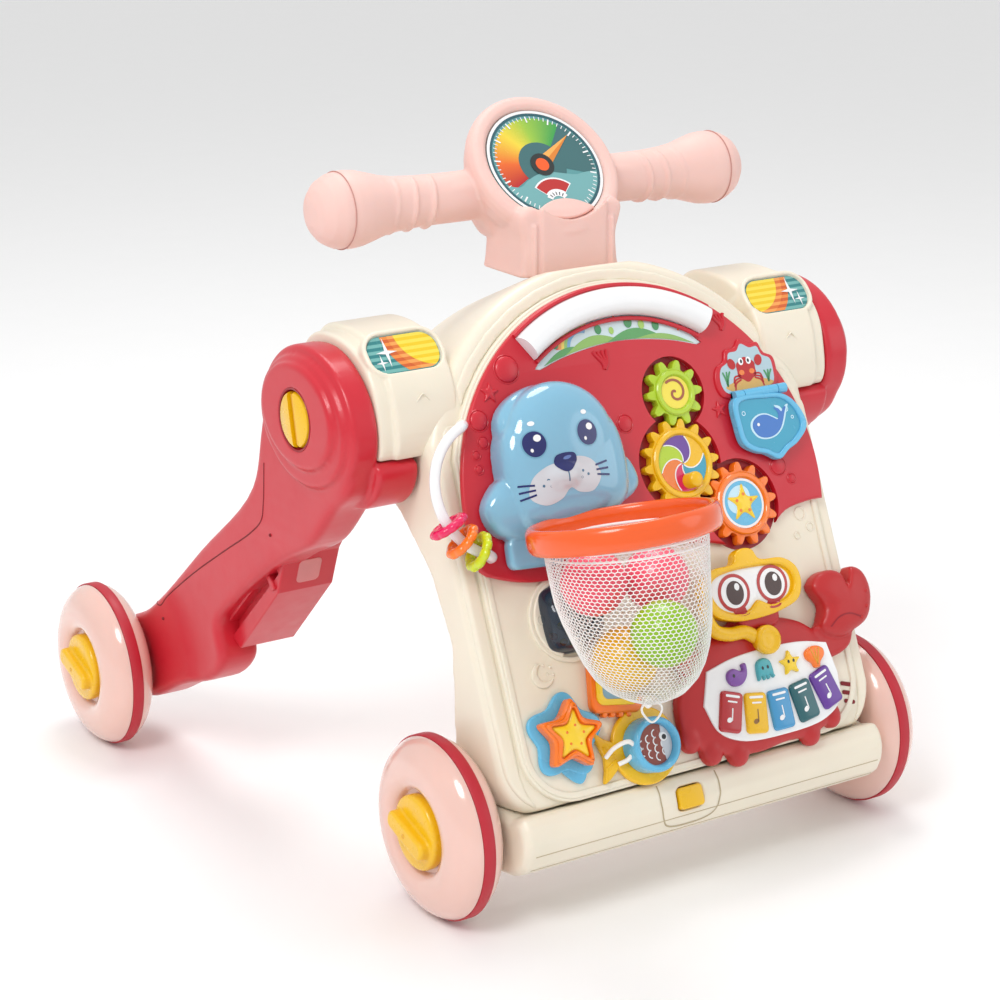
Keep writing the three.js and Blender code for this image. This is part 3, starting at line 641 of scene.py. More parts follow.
def stroke(line, width, surface, lift=0.2, fallback=10.0):
    """A printed line that follows the surface below it."""
    line = np.array(line, float)[:, :2]
    ahead = np.gradient(line, axis=0)
    ahead /= np.maximum(np.linalg.norm(ahead, axis=1), 1e-9)[:, None]
    across = np.column_stack([-ahead[:, 1], ahead[:, 0]]) * width / 2
    points = []
    for p, a in zip(line, across):
        for q in (p + a, p - a):
            points.append((q[0], q[1], surface.height(q[0], q[1], fallback) + lift))
    faces = [[2 * i, 2 * i + 1, 2 * i + 3, 2 * i + 2] for i in range(len(line) - 1)]
    return np.array(points), faces, None


SIDES = (("right", 1), ("left", -1))


# ---- wheels ----
WHEEL_CENTRES = {"front": (167.5, 0, WHEEL_R), "rear": (226.5, WHEELBASE, WHEEL_R)}
TYRE_CORE = 36        # radius at which the wheel is widest
TYRE_HALF = 19        # half the wheel's width
BAND_HALF = 4.3       # half the width of the red tread band


def wheel_place(end, side):
    x, y, z = WHEEL_CENTRES[end]
    return WALKER @ Matrix.Translation((side * x, y, z)) @ Matrix.Rotation(side * math.pi / 2, 4, "Y")


def cheek(sign):
    """One side of the wheel's round profile, from the tread band to its widest point and in to the hub."""
    reach = WHEEL_R - 0.4 - TYRE_CORE
    start = math.asin(BAND_HALF / TYRE_HALF)
    return [(TYRE_CORE + reach * math.cos(t), sign * TYRE_HALF * math.sin(t))
            for t in np.linspace(start, math.pi / 2, 16)]


def make_wheel(end, word, side):
    name = f"{end}_wheel_{word}"
    wheel = Piece(f"{name}_tyre", f"{name}_body", wheel_place(end, side), name, "wheel_pink")
    groove = WHEEL_R - 1.6
    outside = [(groove, BAND_HALF), *cheek(1), (33, 18.5), (30, 17.2), (28, 14.8), (27, 11.6), (4.4, 11)]
    inside = [(4.4, -10), (13, -10), (14, -8.6), (22, -8.4), (27, -12), (30.5, -16.8), *cheek(-1)[::-1]]
    wheel.add(lathe([*inside, (groove, -BAND_HALF), *outside], closed=True), WHEEL_PINK)
    rim = BAND_HALF - 0.25
    belt = [(groove - 1, -rim), (WHEEL_R - 0.35, -rim), (WHEEL_R, -rim + 0.5), (WHEEL_R, rim - 0.5),
            (WHEEL_R - 0.35, rim), (groove - 1, rim)]
    wheel.add(lathe(belt, 120, closed=True), TREAD)
    for turn in (40, 220):
        at = shift(43 * math.cos(math.radians(turn)), 43 * math.sin(math.radians(turn)), -18.0)
        wheel.add(lathe([(0, -0.75), (1.9, -0.7), (1.9, 1.0), (0, 1.0)], 20), RED_SEAM_SHADE, at)
    wheel.build(sharp=46)
    cap = Piece(f"{name}_hub", f"{name}_body", wheel_place(end, side), f"{name}_cap", "yellow_plastic")
    disc = [(0, 11.4), (24.4, 11.4), (24.4, 17.0), (23.9, 18.4), (22.6, 19.3), (20, 19.8), (0, 20.2)]
    cap.add(lathe(disc, 72), YELLOW)
    grip = Matrix.Rotation(math.radians(-18), 4, "Z")
    cap.add(plate(rounded(0, 0, 13, 42.5, 5.5, steps=9), 16, 26.8, 2.2, 5), YELLOW, grip)
    cap.build(fuse=0.75, soften=5)
    dot = Piece(f"{name}_screw", f"{name}_body", wheel_place(end, side), slot="yellow_plastic")
    dot.add(lathe([(0, 26.2), (1.5, 26.2), (1.5, 27.0), (1.0, 27.0), (0.9, 26.5), (0, 26.5)], 18),
            YELLOW_DEEP)
    dot.build()


def make_wheels():
    for word, side in SIDES:
        for end in ("front", "rear"):
            make_wheel(end, word, side)
    for node in ("front_axle", "rear_axle_right", "rear_axle_left"):
        repaint(node, STEEL)


def repaint(node, material):
    """Keeps a CAD node and gives it a finished material."""
    obj = frame["nodes"][node]
    obj.data.materials.clear()
    obj.data.materials.append(material)


# ---- arms ----
def arm_outline():
    return smooth([
        (52, 296), (62, 330), (92, 350), (128, 348), (160, 322), (172, 286), (186, 242), (262, 176),
        (345, 108), (392, 82), (400, 56), (386, 36), (352, 36), (300, 62), (250, 84), (235, 102),
        (240, 126), (222, 146), (154, 196), (110, 220), (80, 250), (60, 268)], 6)


def side_place(side):
    """Outlines are drawn in Y and Z and run outwards along X."""
    return WALKER @ Matrix.Diagonal((side, 1, 1, 1)) @ SIDEWAYS


def make_arm(word, side):
    body = f"arm_{word}_body"
    place = side_place(side)
    arm = Piece(f"arm_{word}_cover", body, place, f"arm_{word}", "red_plastic")
    arm.add(plate(arm_outline(), ARM_IN, ARM_OUT, 6, 5), RED)
    arm.add(plate(oval(SHOULDER_Y, SHOULDER_Z - 2, 59, 50, 80), BLOCK_OUT + 0.4, ARM_OUT + 0.4, 3.5, 4), RED)
    arm.add(plate(oval(SHOULDER_Y, SHOULDER_Z, 54, 42, 80), ARM_OUT - 6, ARM_OUT + 4.6, 3, 4), RED)
    arm.add(plate(oval(SHOULDER_Y, SHOULDER_Z + 4, 46, 34, 80), ARM_OUT, ARM_OUT + 8.8, 3, 4), RED)
    cup = smooth([(50, 284), (52, 268), (66, 254), (88, 250), (106, 254), (108, 270), (94, 284)], 6)
    arm.add(plate(cup, 150, ARM_IN + 14, 3, 4), RED)
    room = Piece("room", body, place)
    room.add(plate(rounded(SHOULDER_Y + 20, 346, 260, 119.4, 2), 90, BLOCK_OUT + 0.3), RED)
    seat = Piece("seat", body, place)
    seat.add(plate(oval(SHOULDER_Y, SHOULDER_Z + 2, 19.2, count=64), ARM_OUT - 1, 220), RED)
    for point in arm.points:
        point[2] += max(0.0, point[0] - SHOULDER_Y - 40) * 0.042
    arm.build(fuse=1.25, soften=5, cut=(room, seat))
    # The knob's well is darker red: painted shade in the recess round the knob.
    well = Piece(f"arm_{word}_knob_well", body, place, slot="red_plastic")
    floor = ARM_OUT - 0.7
    well.add(moved(lathe([(0, 0), (19.2, 0), (19.2, 10.2), (20.4, 10.5), (21, 9.6), (21, -3), (0, -3)], 72),
                   Matrix.Translation((SHOULDER_Y, SHOULDER_Z + 2, floor - 0.8))), RED_RECESS_SHADE)
    well.build()
    # A painted shade line, with a dot at each end, where the bracket's side steps in below the arm's outer
    # face.
    lines = Piece(f"arm_{word}_seam_shade", body, place, slot="red_plastic")
    skin = Surface(bpy.data.objects[f"arm_{word}_cover"], place)
    edge = open_line([(166, 262), (168, 234), (171, 222), (183, 211), (226, 184), (270, 156), (312, 126),
                      (322, 117), (334, 116)], 6)
    rise = [skin.height(y, z, ARM_OUT, 260) for y, z in edge]
    lines.add(tube([(y, z, h - 0.2) for (y, z), h in zip(edge, rise)], 0.6, 8), RED_SEAM_SHADE)
    for y, z in ((160, 214), (318, 108)):
        lines.add(ball((y, z, skin.height(y, z, ARM_OUT, 260)), 1.2, 8, 12), RED_SEAM_SHADE)
    lines.build()
    knob = Piece(f"lock_knob_{word}_disc", f"lock_knob_{word}_body", place, f"shoulder_lock_knob_{word}",
                 "yellow_plastic")
    dial = [(0, 0.4), (18.1, 0.4), (18.1, 8.6), (17.5, 10.2), (16, 11), (0, 11.2)]
    centre = Matrix.Translation((SHOULDER_Y, SHOULDER_Z + 2, ARM_OUT - 1))
    centre = centre @ Matrix.Rotation(math.radians(-12), 4, "Z")
    knob.add(lathe(dial, 72), YELLOW, centre)
    slot = Piece("slot", f"lock_knob_{word}_body", place)
    slot.add(plate(rounded(0, 0, 7, 60, 1), 4.5, 20), YELLOW, centre)
    knob.build(sharp=40, cut=(slot,))
    blade = Piece(f"lock_knob_{word}_blade", f"lock_knob_{word}_body", place, slot="yellow_plastic")
    blade.add(plate(rounded(0, 0, 3.4, 33, 1.4), 4.4, 9.6, 0.8), YELLOW_DEEP, centre)
    blade.build()
    make_bracket(word, place, body)


BRACKET = [(146, 214), (160, 196), (171, 168), (229, 110), (252, 120), (262, 140), (200, 196)]


def make_bracket(word, place, body):
    """The box under the arm that the seat of the ride-on set-up hooks on to."""
    bracket = Piece(f"seat_bracket_{word}_box", body, place, f"seat_bracket_{word}", "red_plastic")
    bracket.add(plate(rounded_corners(BRACKET, 3), 146, ARM_OUT - 9, 1.2, 3), RED)
    room = Piece("room", body, place)
    room.add(plate(rounded(207, 153, 96, 9, 1, -43), ARM_OUT - 14, ARM_OUT), RED)
    bracket.build(sharp=42, cut=(room,))
    rails = Piece(f"seat_bracket_{word}_rails", body, place, slot="red_plastic")
    rails.add(plate(rounded(212, 156, 88, 4.2, 1.2, -43), ARM_OUT - 15, ARM_OUT - 6.4, 0.8), RED)
    rails.add(plate(rounded(180, 176, 5, 17, 1.4, -43), ARM_OUT - 15, ARM_OUT - 7.0, 0.8), RED)
    rails.build()
    # A painted highlight: a pale, blotchy pink patch on the bracket's sloping front face.
    highlight_patch = Piece(f"seat_bracket_{word}_highlight", body, place, slot="red_plastic")
    lean_back = math.atan2(171 - 160, 196 - 168)
    face = (Matrix.Translation((165.2, 182.6, 167)) @ Matrix.Rotation(lean_back, 4, "Z")
            @ Matrix(((0, 0, -1, 0), (0, 1, 0, 0), (1, 0, 0, 0), (0, 0, 0, 1))))
    highlight_patch.add(plate(rounded(0, 0, 17, 19, 3.5), -0.6, 0.35, 0.2), BRACKET_HIGHLIGHT, face)
    highlight_patch.build()


# Pale pink painted highlight for the bracket's front face.
BRACKET_HIGHLIGHT = moulded("bracket_painted_highlight", "e58f90", 0.6, grain=0.2, grain_scale=500, vary=0.3)


def rounded_corners(points, radius, steps=5):
    """A polygon with round corners."""
    p = [np.array(q, float) for q in points]
    made = []
    for i, here in enumerate(p):
        back, on = p[i - 1] - here, p[(i + 1) % len(p)] - here
        back, on = back / np.linalg.norm(back), on / np.linalg.norm(on)
        half = math.acos(max(-1.0, min(1.0, float(back @ on)))) / 2
        reach = radius / math.tan(half)
        start, end = here + back * reach, here + on * reach
        for t in np.linspace(0, 1, steps):
            made.append((1 - t) ** 2 * start + 2 * t * (1 - t) * here + t * t * end)
    return np.array(made)


# ---- shoulder blocks ----
def make_shoulder(word, side):
    place = side_place(side)
    block = Piece(f"shoulder_{word}_block", "frame", place, f"shoulder_block_{word}", "cream_plastic")
    outline = smooth([(50, 287.5), (50, 322), (60, 342), (80, 356), (108, 361), (138, 356), (154, 336),
                      (154, 287.5)], 8)
    block.add(plate(outline, BLOCK_IN, BLOCK_OUT - 10, 3, 4), CREAM)
    step = smooth([(53, 287.5), (53, 320), (62, 339), (81, 352), (108, 357), (136, 352), (151, 334),
                   (151, 287.5)], 8)
    block.add(plate(step, BLOCK_IN + 30, BLOCK_OUT, 2.5, 4), CREAM)
    low = Piece("low", "frame", place)
    low.add(plate(rounded(100, 262, 260, 50.4, 1), 60, 240), CREAM)
    back = Piece("back", "frame")
    back.add(plate(arch(PANEL_HALF + 1.5, PANEL_BOTTOM, PANEL_R + 1.5, 36), -60, 30), CREAM)
    top = picture_place(side)
    block.add(moved(plate(rounded(0, 0, 57, 34, 15, steps=10), -14, 7.4, 1.5, 3), place.inverted() @ top),
              CREAM)
    seat = Piece("seat", "frame", top)
    seat.add(plate(rounded(0, 0, 51.2, 27.6, 11.8, steps=10), 4.4, 40), CREAM)
    block.build(fuse=0.9, soften=4, cut=(low, back, seat))
    make_picture(word, top)
    marks = Piece(f"shoulder_{word}_marks", "frame", place, slot="cream_plastic")
    face = WALKER @ Matrix.Translation((side * 146, 50.4, 314)) @ Matrix.Rotation(math.pi / 2, 4, "X")
    marks.place = face
    for sign in (1, -1):
        tip = [(-9, sign * 3.5), (0, sign * 14), (9, sign * 3.5)]
        loop = rounded_corners(tip, 1.5)
        marks.add(tube([(x, y, -0.1) for x, y in loop], 0.55, 8, True), CREAM)
    marks.build()


def picture_place(side):
    return (WALKER @ Matrix.Translation((side * 148, 74, 346)) @ Matrix.Rotation(math.radians(48), 4, "X")
            @ Matrix.Diagonal((side, 1, 1, 1)))


def make_picture(word, place):
    """The pressed-in label on the shoulder: a low sun over striped water, with two sparkles."""
    body = f"shoulder_button_{word}_body"
    label = Piece(f"shoulder_{word}_picture", body, place, f"shoulder_button_{word}", "picture_teal")
    outline = rounded(0, 0, 50, 26.4, 11.2, steps=10)
    label.add(plate(outline, -4, PICTURE_H, 0.5, 3), TEAL_STRIPES)
    sun_centre = (-22, 14)
    for radius, material, h in ((35, ORANGE_STRIPES, 0.62), (30, RUST_STRIPES, 0.70),
                                (25.5, SUN_STRIPES, 0.78)):
        clipped = clip_disc(sun_centre, radius, rounded(0, 0, 48.6, 25, 10.6, steps=10))
        label.add(flat_patch(clipped, PICTURE_H + h - 0.5), material)
    for x, y, size in ((12, 1.5, 10.5), (17.5, -5.5, 6)):
        label.add(flat_patch(sparkle(x, y, size), PICTURE_H + 0.36), WHITE)
    label.build()


PICTURE_H = 5.6


def clip_disc(centre, radius, limit):
    """The disc's outline kept inside a convex limit."""
    disc = [np.array(p) for p in oval(*centre, radius, count=90)]
    loop = [np.array(p) for p in limit]
    for i, a in enumerate(loop):
        b = loop[(i + 1) % len(loop)]
        edge = b - a
        if np.linalg.norm(edge) < 1e-6:
            continue
        kept = []
        for k, p in enumerate(disc):
            q = disc[(k + 1) % len(disc)]
            sp = edge[0] * (p[1] - a[1]) - edge[1] * (p[0] - a[0])
            sq = edge[0] * (q[1] - a[1]) - edge[1] * (q[0] - a[0])
            if sp >= 0:
                kept.append(p)
            if (sp >= 0) != (sq >= 0):
                kept.append(p + (q - p) * sp / (sp - sq))
        disc = kept
    return np.array(disc)


def flat_patch(outline, h):
    """A single thin printed face at height h."""
    points = np.array([(x, y, h) for x, y in outline])
    return points, [list(range(len(points)))], points[:, :2].copy()


def sparkle(cx, cy, size):
    points = []
    for i in range(8):
        r = size if i % 2 == 0 else size * 0.16
        a = math.radians(90 + 45 * i)
        points.append((cx + r * math.cos(a) * (0.72 if i % 4 == 2 else 1.0), cy + r * math.sin(a)))
    return np.array(points)


TEAL_STRIPES = striped("teal_stripes", "2a7d80", "6fb0ac", 4.6)
ORANGE_STRIPES = striped("orange_stripes", "cc5a20", "e98a3c", 4.6)
RUST_STRIPES = striped("rust_stripes", "d8702a", "f0a050", 4.6)
SUN_STRIPES = striped("sun_stripes", "e8c413", "f2d94a", 4.6)


# ---- body shells and base ----
def body_side():
    """The body seen from the side, in Y and Z."""
    return rounded_corners([
        (-44.6, 77), (13, 81), (13, 112), (16, 172), (41, 213), (77, 243), (112, 262), (142, 285),
        (157, 320), (159, 358), (153, 376.5), (98, 376.5), (80, 386), (60, 390), (-60, 84)], 5)


def soften_node(node, name, material, size=1.6, rounds=6):
    """A finer copy of a CAD node whose edges are rounded as a mould leaves them."""
    source = frame["nodes"][node]
    obj = bpy.data.objects.new(name, source.data.copy())
    bpy.context.scene.collection.objects.link(obj)
    obj.matrix_world = source.matrix_world.copy()
    remesh(obj, size * MM, rounds)
    obj.data.materials.clear()
    obj.data.materials.append(material)
    obj.data.polygons.foreach_set("use_smooth", [True] * len(obj.data.polygons))
    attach(obj, body_of(source)[0])
    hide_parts(node)
    return obj


def make_shell():
    tub = Piece("back_shell_skin", "frame", PANEL, "body_back_shell", "cream_plastic")
    tub.add(plate(arch(148, 86, 158, 30, 14), -172, -4.2, 8, 6), CREAM)
    outside = Piece("outside", "frame", WALKER @ SIDEWAYS)
    outside.add(plate([rounded(60, 220, 700, 700, 5), body_side()], -220, 220), CREAM)
    tub.build(fuse=1.7, soften=9, cut=(outside,))
    soften_node("body_front_shell", "front_shell_skin", CREAM, 1.3, 6)
    soften_node("base_beam", "base_beam_skin", CREAM, 1.3, 8)
    button = Piece("base_button", "base_button_body", PANEL, "base_release_button", "yellow_plastic")
    button.add(plate(rounded(-19, 74, 19, 14, 2.6), -10, 3.3, 1.1, 4), YELLOW)
    button.build()
    frame_line = Piece("base_beam_marks", "frame", PANEL, slot="cream_plastic")
    u_line = open_line([(-42, 88, ), (-42, 70), (-38, 60), (-19, 57), (0, 60), (4, 70), (4, 88)], 8)
    skin = Surface(bpy.data.objects["base_beam_skin"])
    frame_line.add(stroke(u_line, 1.0, skin, 0.25, 0), CREAM_SHADE)
    frame_line.build()
    for k, z in enumerate((45.5, 57.0)):
        seam = Piece(f"base_beam_seam_{k + 1}", "frame", WALKER, slot="cream_plastic")
        front = BVHTree.FromObject(bpy.data.objects["base_beam_skin"], bpy.context.evaluated_depsgraph_get())
        line = []
        for x in np.linspace(-138, 138, 70):
            hit = front.ray_cast(WALKER @ Vector((x, -300, z)), Vector((0, 1, 0)))[0]
            if hit is not None:
                at = WALKER.inverted() @ hit
                line.append((x, at.y + 0.05, z))
        seam.add(tube(line, 0.35, 6), CREAM_SHADE)
        seam.build()


# ---- handlebar ----
def make_handlebar():
    bar = Piece("handlebar_skin", "frame", WALKER, "handlebar", "handlebar_pink")
    half = [(0, 169.0), (8, 168.4), (15, 165.6), (20.5, 160.5), (24, 153.5), (25.3, 144), (24.6, 136),
            (22.2, 127), (19.6, 118), (18, 108), (16.9, 92), (16.6, 75)]
    profile = half + [(r, -h) for r, h in half[::-1]]
    along = Matrix.Translation((0, BAR_Y, BAR_Z)) @ ALONG_X
    bar.add(lathe(profile, 64), BAR_PINK, along)
    facing = Matrix.Rotation(math.pi / 2, 4, "X")
    column = smooth([(-40, 366), (-38, 384), (-37, 400), (-40, 420), (0, 426), (40, 420), (37, 400),
                     (38, 384),
                     (40, 366), (0, 364)], 6)
    bar.add(plate(column, -152, -100.5, 6, 5), BAR_PINK, facing)
    bar.add(plate(rounded(0, 394, 54, 64, 5), -140, -98, 3, 4), BAR_PINK, facing)
    wings = smooth([(-34, 396), (-46, 410), (-62, 417), (-86, 418), (-86, 434), (-50, 440), (0, 442),
                    (50, 440),
                    (86, 434), (86, 418), (62, 417), (46, 410), (34, 396), (0, 392)], 6)
    bar.add(plate(wings, -164, -133, 9, 6), BAR_PINK, facing)
    to_walker = WALKER.inverted() @ DIAL
    housing = [(0, -30), (38, -30), (46, -26), (51, -18), (54.3, -8), (54.6, -3), (53.4, 1), (50.5, 3),
               (46.2, 3.1), (43.6, 1.2), (42.6, -1.6), (0, -1.6)]
    bar.add(lathe(housing, 96), BAR_PINK, to_walker)
    for side in (-1, 1):
        for x in (84, 98, 112):
            bar.add(grip_rib(side * x, side), BAR_PINK)
        bar.add(tube([(side * 30.5, 99.6, z) for z in np.linspace(372, 412, 12)], 1.7, 10), BAR_PINK)
    foot = Piece("foot", "frame", WALKER)
    foot.add(plate(rounded(0, 120, 260, 200, 4), 336, 377), BAR_PINK)
    face = Piece("face", "frame", DIAL)
    face.add(lathe([(0, -1.9), (42.4, -1.9), (43.4, 1.2), (46.2, 3.4), (46.2, 40), (0, 40)], 96), BAR_PINK)
    bar.build(fuse=1.05, soften=4, cut=(foot, face))
    lines = Piece("handlebar_seams", "frame", WALKER, slot="handlebar_pink")
    for x in (-149, 149):
        ring = [(x, BAR_Y + 24.95 * math.cos(a), BAR_Z + 24.95 * math.sin(a))
                for a in np.linspace(0, 2 * math.pi, 72, endpoint=False)]
        lines.add(tube(ring, 0.4, 6, True), BAR_LINE)
    lines.build()


def grip_rib(x, side):
    """A raised finger rib: an open C round the lower front of the grip."""
    radius = 17.0 + max(0, (abs(x) - 75)) * 0.03
    path = []
    for a in np.linspace(-25, 200, 26):
        t = math.radians(a)
        lean = 3.0 * math.sin(t)
        path.append((x + side * lean, BAR_Y - radius * math.cos(math.radians(a - 55)),
                     BAR_Z - radius * math.sin(math.radians(a - 55))))
    ends = np.linspace(0, 1, len(path))
    radii = 1.7 * np.minimum(1, 4 * np.minimum(ends, 1 - ends) + 0.35)
    return tube(path, radii, 8)


# ---- dial ----
def make_dial():
    face = Piece("dial_print", "frame", DIAL, "dial_face", "dial_teal")
    face.add(lathe([(0, -1.6), (41.6, -1.6), (41.6, 0.05), (0, 0.05)], 96), DIAL_TEAL)
    face.add(band(40.3, 42.3, 0, 360, 0.5, 96), WHITE)
    face.add(band(38.6, 40.3, 0, 360, 0.42, 96), DIAL_LINE)
    face.add(band(14.5, 36.5, 208, 52, 0.2, 90), DIAL_FADE)
    face.add(band(0.1, 37.6, 52, -18, 0.16, 50), DIAL_DEEP)
    face.add(flat_patch(oval(-2, 0, 17.5, count=64), 0.3), DIAL_DEEP)
    face.add(flat_patch(smooth_lower(), 0.36), DIAL_PALE)
    for i in range(61):
        a = math.radians(250 - i * 320 / 60)
        long = i % 5 == 0
        inner, outer = (33.2 if long else 35.0), 37.8
        w = 0.55 if long else 0.3
        d, n = np.array((math.cos(a), math.sin(a))), np.array((-math.sin(a), math.cos(a)))
        quad = np.array([d * inner - n * w, d * outer - n * w, d * outer + n * w, d * inner + n * w])
        face.add(flat_patch(quad, 0.44), WHITE)
    tip = np.array((26.5, 20.5))
    hub = np.array((-2.5, 0.0))
    along = (tip - hub) / np.linalg.norm(tip - hub)
    side = np.array((-along[1], along[0]))
    face.add(flat_patch(np.array([hub + side * 5.4, hub, tip]), 0.62), NEEDLE_LIGHT)
    face.add(flat_patch(np.array([hub, hub - side * 5.4, tip]), 0.62), NEEDLE_DARK)
    face.add(flat_patch(oval(*hub, 8.6, count=48), 0.72), DIAL_BLACK)
    face.add(flat_patch(oval(*hub, 4.9, count=40), 0.80), ORANGE)
    for inner, outer, start, end, material, h in (
            (9.0, 19.6, 137, 43, WHITE, 0.46), (10.6, 18.4, 135, 45, GAUGE_RED, 0.52),
            (5.2, 9.4, 148, 32, WHITE, 0.54)):
        face.add(band(inner, outer, start, end, h, 24, (-1.5, -30)), material)
    for i in range(5):
        a = math.radians(128 - 19 * i)
        d, n = np.array((math.cos(a), math.sin(a))), np.array((-math.sin(a), math.cos(a)))
        c = np.array((-1.5, -30.0))
        quad = np.array([c + d * 6 - n * .35, c + d * 8.4 - n * .35, c + d * 8.4 + n * .35,
                         c + d * 6 + n * .35])
        face.add(flat_patch(quad, 0.6), BLACK)
    face.build()
    lip = Piece("dial_lip", "frame", DIAL, slot="handlebar_pink")
    upper = [(x, -28 - 0.0165 * (x + 1.5) ** 2) for x in np.linspace(-22, 19, 24)]
    lower_edge = [(43.0 * math.cos(a), 43.0 * math.sin(a))
                  for a in np.linspace(math.radians(-60), math.radians(-121), 30)]
    lip.add(plate(np.array(upper + lower_edge), -1, 3.2, 1.2, 4), BAR_PINK)
    lip.build()


def smooth_lower():
    """The pale lower part of the dial, under the two colour fields."""
    top = open_line([(-35.5, -13), (-26, -15), (-18, -10.5), (-9, -7), (0, -6), (10, -8), (20, -10), (28, -9),
                     (36.5, -9)], 6)
    rim = [(38.2 * math.cos(a), 38.2 * math.sin(a))
           for a in np.linspace(math.radians(-13.5), math.radians(-160), 60)]
    return np.array([*top, *rim])


DIAL_TEAL = moulded("dial_teal", "57979a", 0.2, 0.5)
DIAL_LINE = moulded("dial_outline", "245762", 0.2, 0.5)
DIAL_DEEP = moulded("dial_deep", "37686b", 0.2, 0.5)
DIAL_PALE = moulded("dial_pale", "6fa9ab", 0.2, 0.5)
DIAL_BLACK = moulded("dial_black", "1d2424", 0.2, 0.5)
DIAL_FADE = ramped("dial_fade", [(0.0, "b3141a"), (0.22, "e2641c"), (0.5, "e8cf3a"), (0.72, "96bf3c"),
                                 (1.0, "2f9a48")])
NEEDLE_LIGHT = moulded("needle_light", "f0ab52", 0.2, 0.5)
NEEDLE_DARK = moulded("needle_dark", "d97f24", 0.2, 0.5)
GAUGE_RED = moulded("gauge_red", "b8221f", 0.2, 0.5)


# ---- activity panel: board, dome, handle ----
def dome_outline():
    wave = open_line([(-132, 238), (-112, 231), (-90, 228), (-60, 232), (-28, 235), (8, 234), (36, 230),
                      (60, 224), (84, 227), (104, 240), (132, 244)], 6)
    a0, a1 = math.atan2(244 - PANEL_C, 132), math.atan2(238 - PANEL_C, -132) + 2 * math.pi
    arc = [(139 * math.cos(a), PANEL_C + 139 * math.sin(a)) for a in np.linspace(a0, a1, 110)]
    return np.array([*wave[:-1], *arc[:-1]])


def window_outline():
    return np.array([*open_line([(-66, 360), (-46, 379), (-20, 389), (0, 391), (20, 389), (46, 379),
                                 (66, 360)], 6),
                     *open_line([(62, 359), (40, 365), (0, 369.5), (-40, 365), (-62, 359)], 6)])


BUBBLES = ((-87, 363, 8.6), (-115, 334, 6.3), (-115, 320, 3.5), (-122, 313, 2.5), (-122, 304, 2.5),
           (-8, 316, 5.5), (105, 270, 6.0), (114, 260, 3.0))
STARFISH = ((-103, 350, 7, 80), (68, 314, 6, 96))
CORALS = ((-14, 353, 1), (84, 366, 0.9))
GEARS = {"green": (10, 34.6, 330), "yellow": (14, 28, 283.66), "orange": (13, 68.72, 250.28)}


def gear_size(teeth):
    pitch = GEAR_MODULE * teeth / 2
    return pitch, pitch + 0.62 * GEAR_MODULE, pitch - 0.85 * GEAR_MODULE


def make_board():
    board = Piece("board_skin", "frame", PANEL, "panel_board", "cream_plastic")
    board.add(plate(arch(PANEL_HALF, PANEL_BOTTOM, PANEL_R, 36), -12.5, 0.0, 1.4, 4), CREAM)
    board.add(plate([arch(PANEL_HALF - 2, PANEL_BOTTOM + 2, PANEL_R - 2, 34),
                     arch(PANEL_HALF - 6, PANEL_BOTTOM + 6, PANEL_R - 6, 30)], -2, 1.3, 0.9, 3), CREAM)
    board.build(sharp=35)
    dome = Piece("dome_skin", "frame", PANEL, "panel_dome", "red_plastic")
    dome.add(plate(dome_outline(), 0.35, 5.0, 1.8, 4), RED)
    cuts = []
    for teeth, x, s in GEARS.values():
        well = Piece("well", "frame")
        well.add(plate(oval(x, s, gear_size(teeth)[0] + 5, count=80), -5, 15), RED)
        cuts.append(well)
    door = Piece("door_well", "frame")
    door.add(plate(rounded(101, 300, 66, 44, 12), -5, 15), RED)
    picture = Piece("window_well", "frame")
    picture.add(plate(window_outline(), -5, 15), RED)
    dome.build(sharp=35, cut=(*cuts, picture))
    # The well floors are darker red: painted shade in the wells round the gears.
    floors = Piece("gear_well_floors", "frame", PANEL, slot="red_plastic")
    for teeth, x, s in GEARS.values():
        floors.add(plate(oval(x, s, gear_size(teeth)[0] + 4.9, count=80), 0.02, 0.3), RED_RECESS_SHADE)
    floors.build()
    marks = Piece("dome_embossing", "frame", PANEL, slot="red_plastic")
    for x, s, r in BUBBLES:
        marks.add(domed(oval(x, s, r, count=36), 4.4, 5.0, 5.2 + 0.3 * r, 2.2, 7), RED)
        marks.add(tube([(x + (r + 0.5) * math.cos(a), s + (r + 0.5) * math.sin(a), 5.0)
                        for a in np.linspace(0, 2 * math.pi, 36, endpoint=False)], 0.55, 8, True), RED)
    for x, s, r, turn in STARFISH:
        marks.add(domed(star(x, s, r, r * 0.5, turn), 4.6, 5.2, 6.8, 2.0, 6), RED)
    for x, s, k in CORALS:
        for lean in (-0.5, -0.15, 0.2, 0.55):
            twig = [(x + k * t * 10 * lean + 1.1 * math.sin(t * 5), s + k * 12 * t) for t in np.linspace(0,
                                                            1, 9)]
            marks.add(tube([(u, v, 5.1) for u, v in twig], 1.1 * k + 0.2, 8), RED)
    marks.build()
    make_handle()
    make_window()


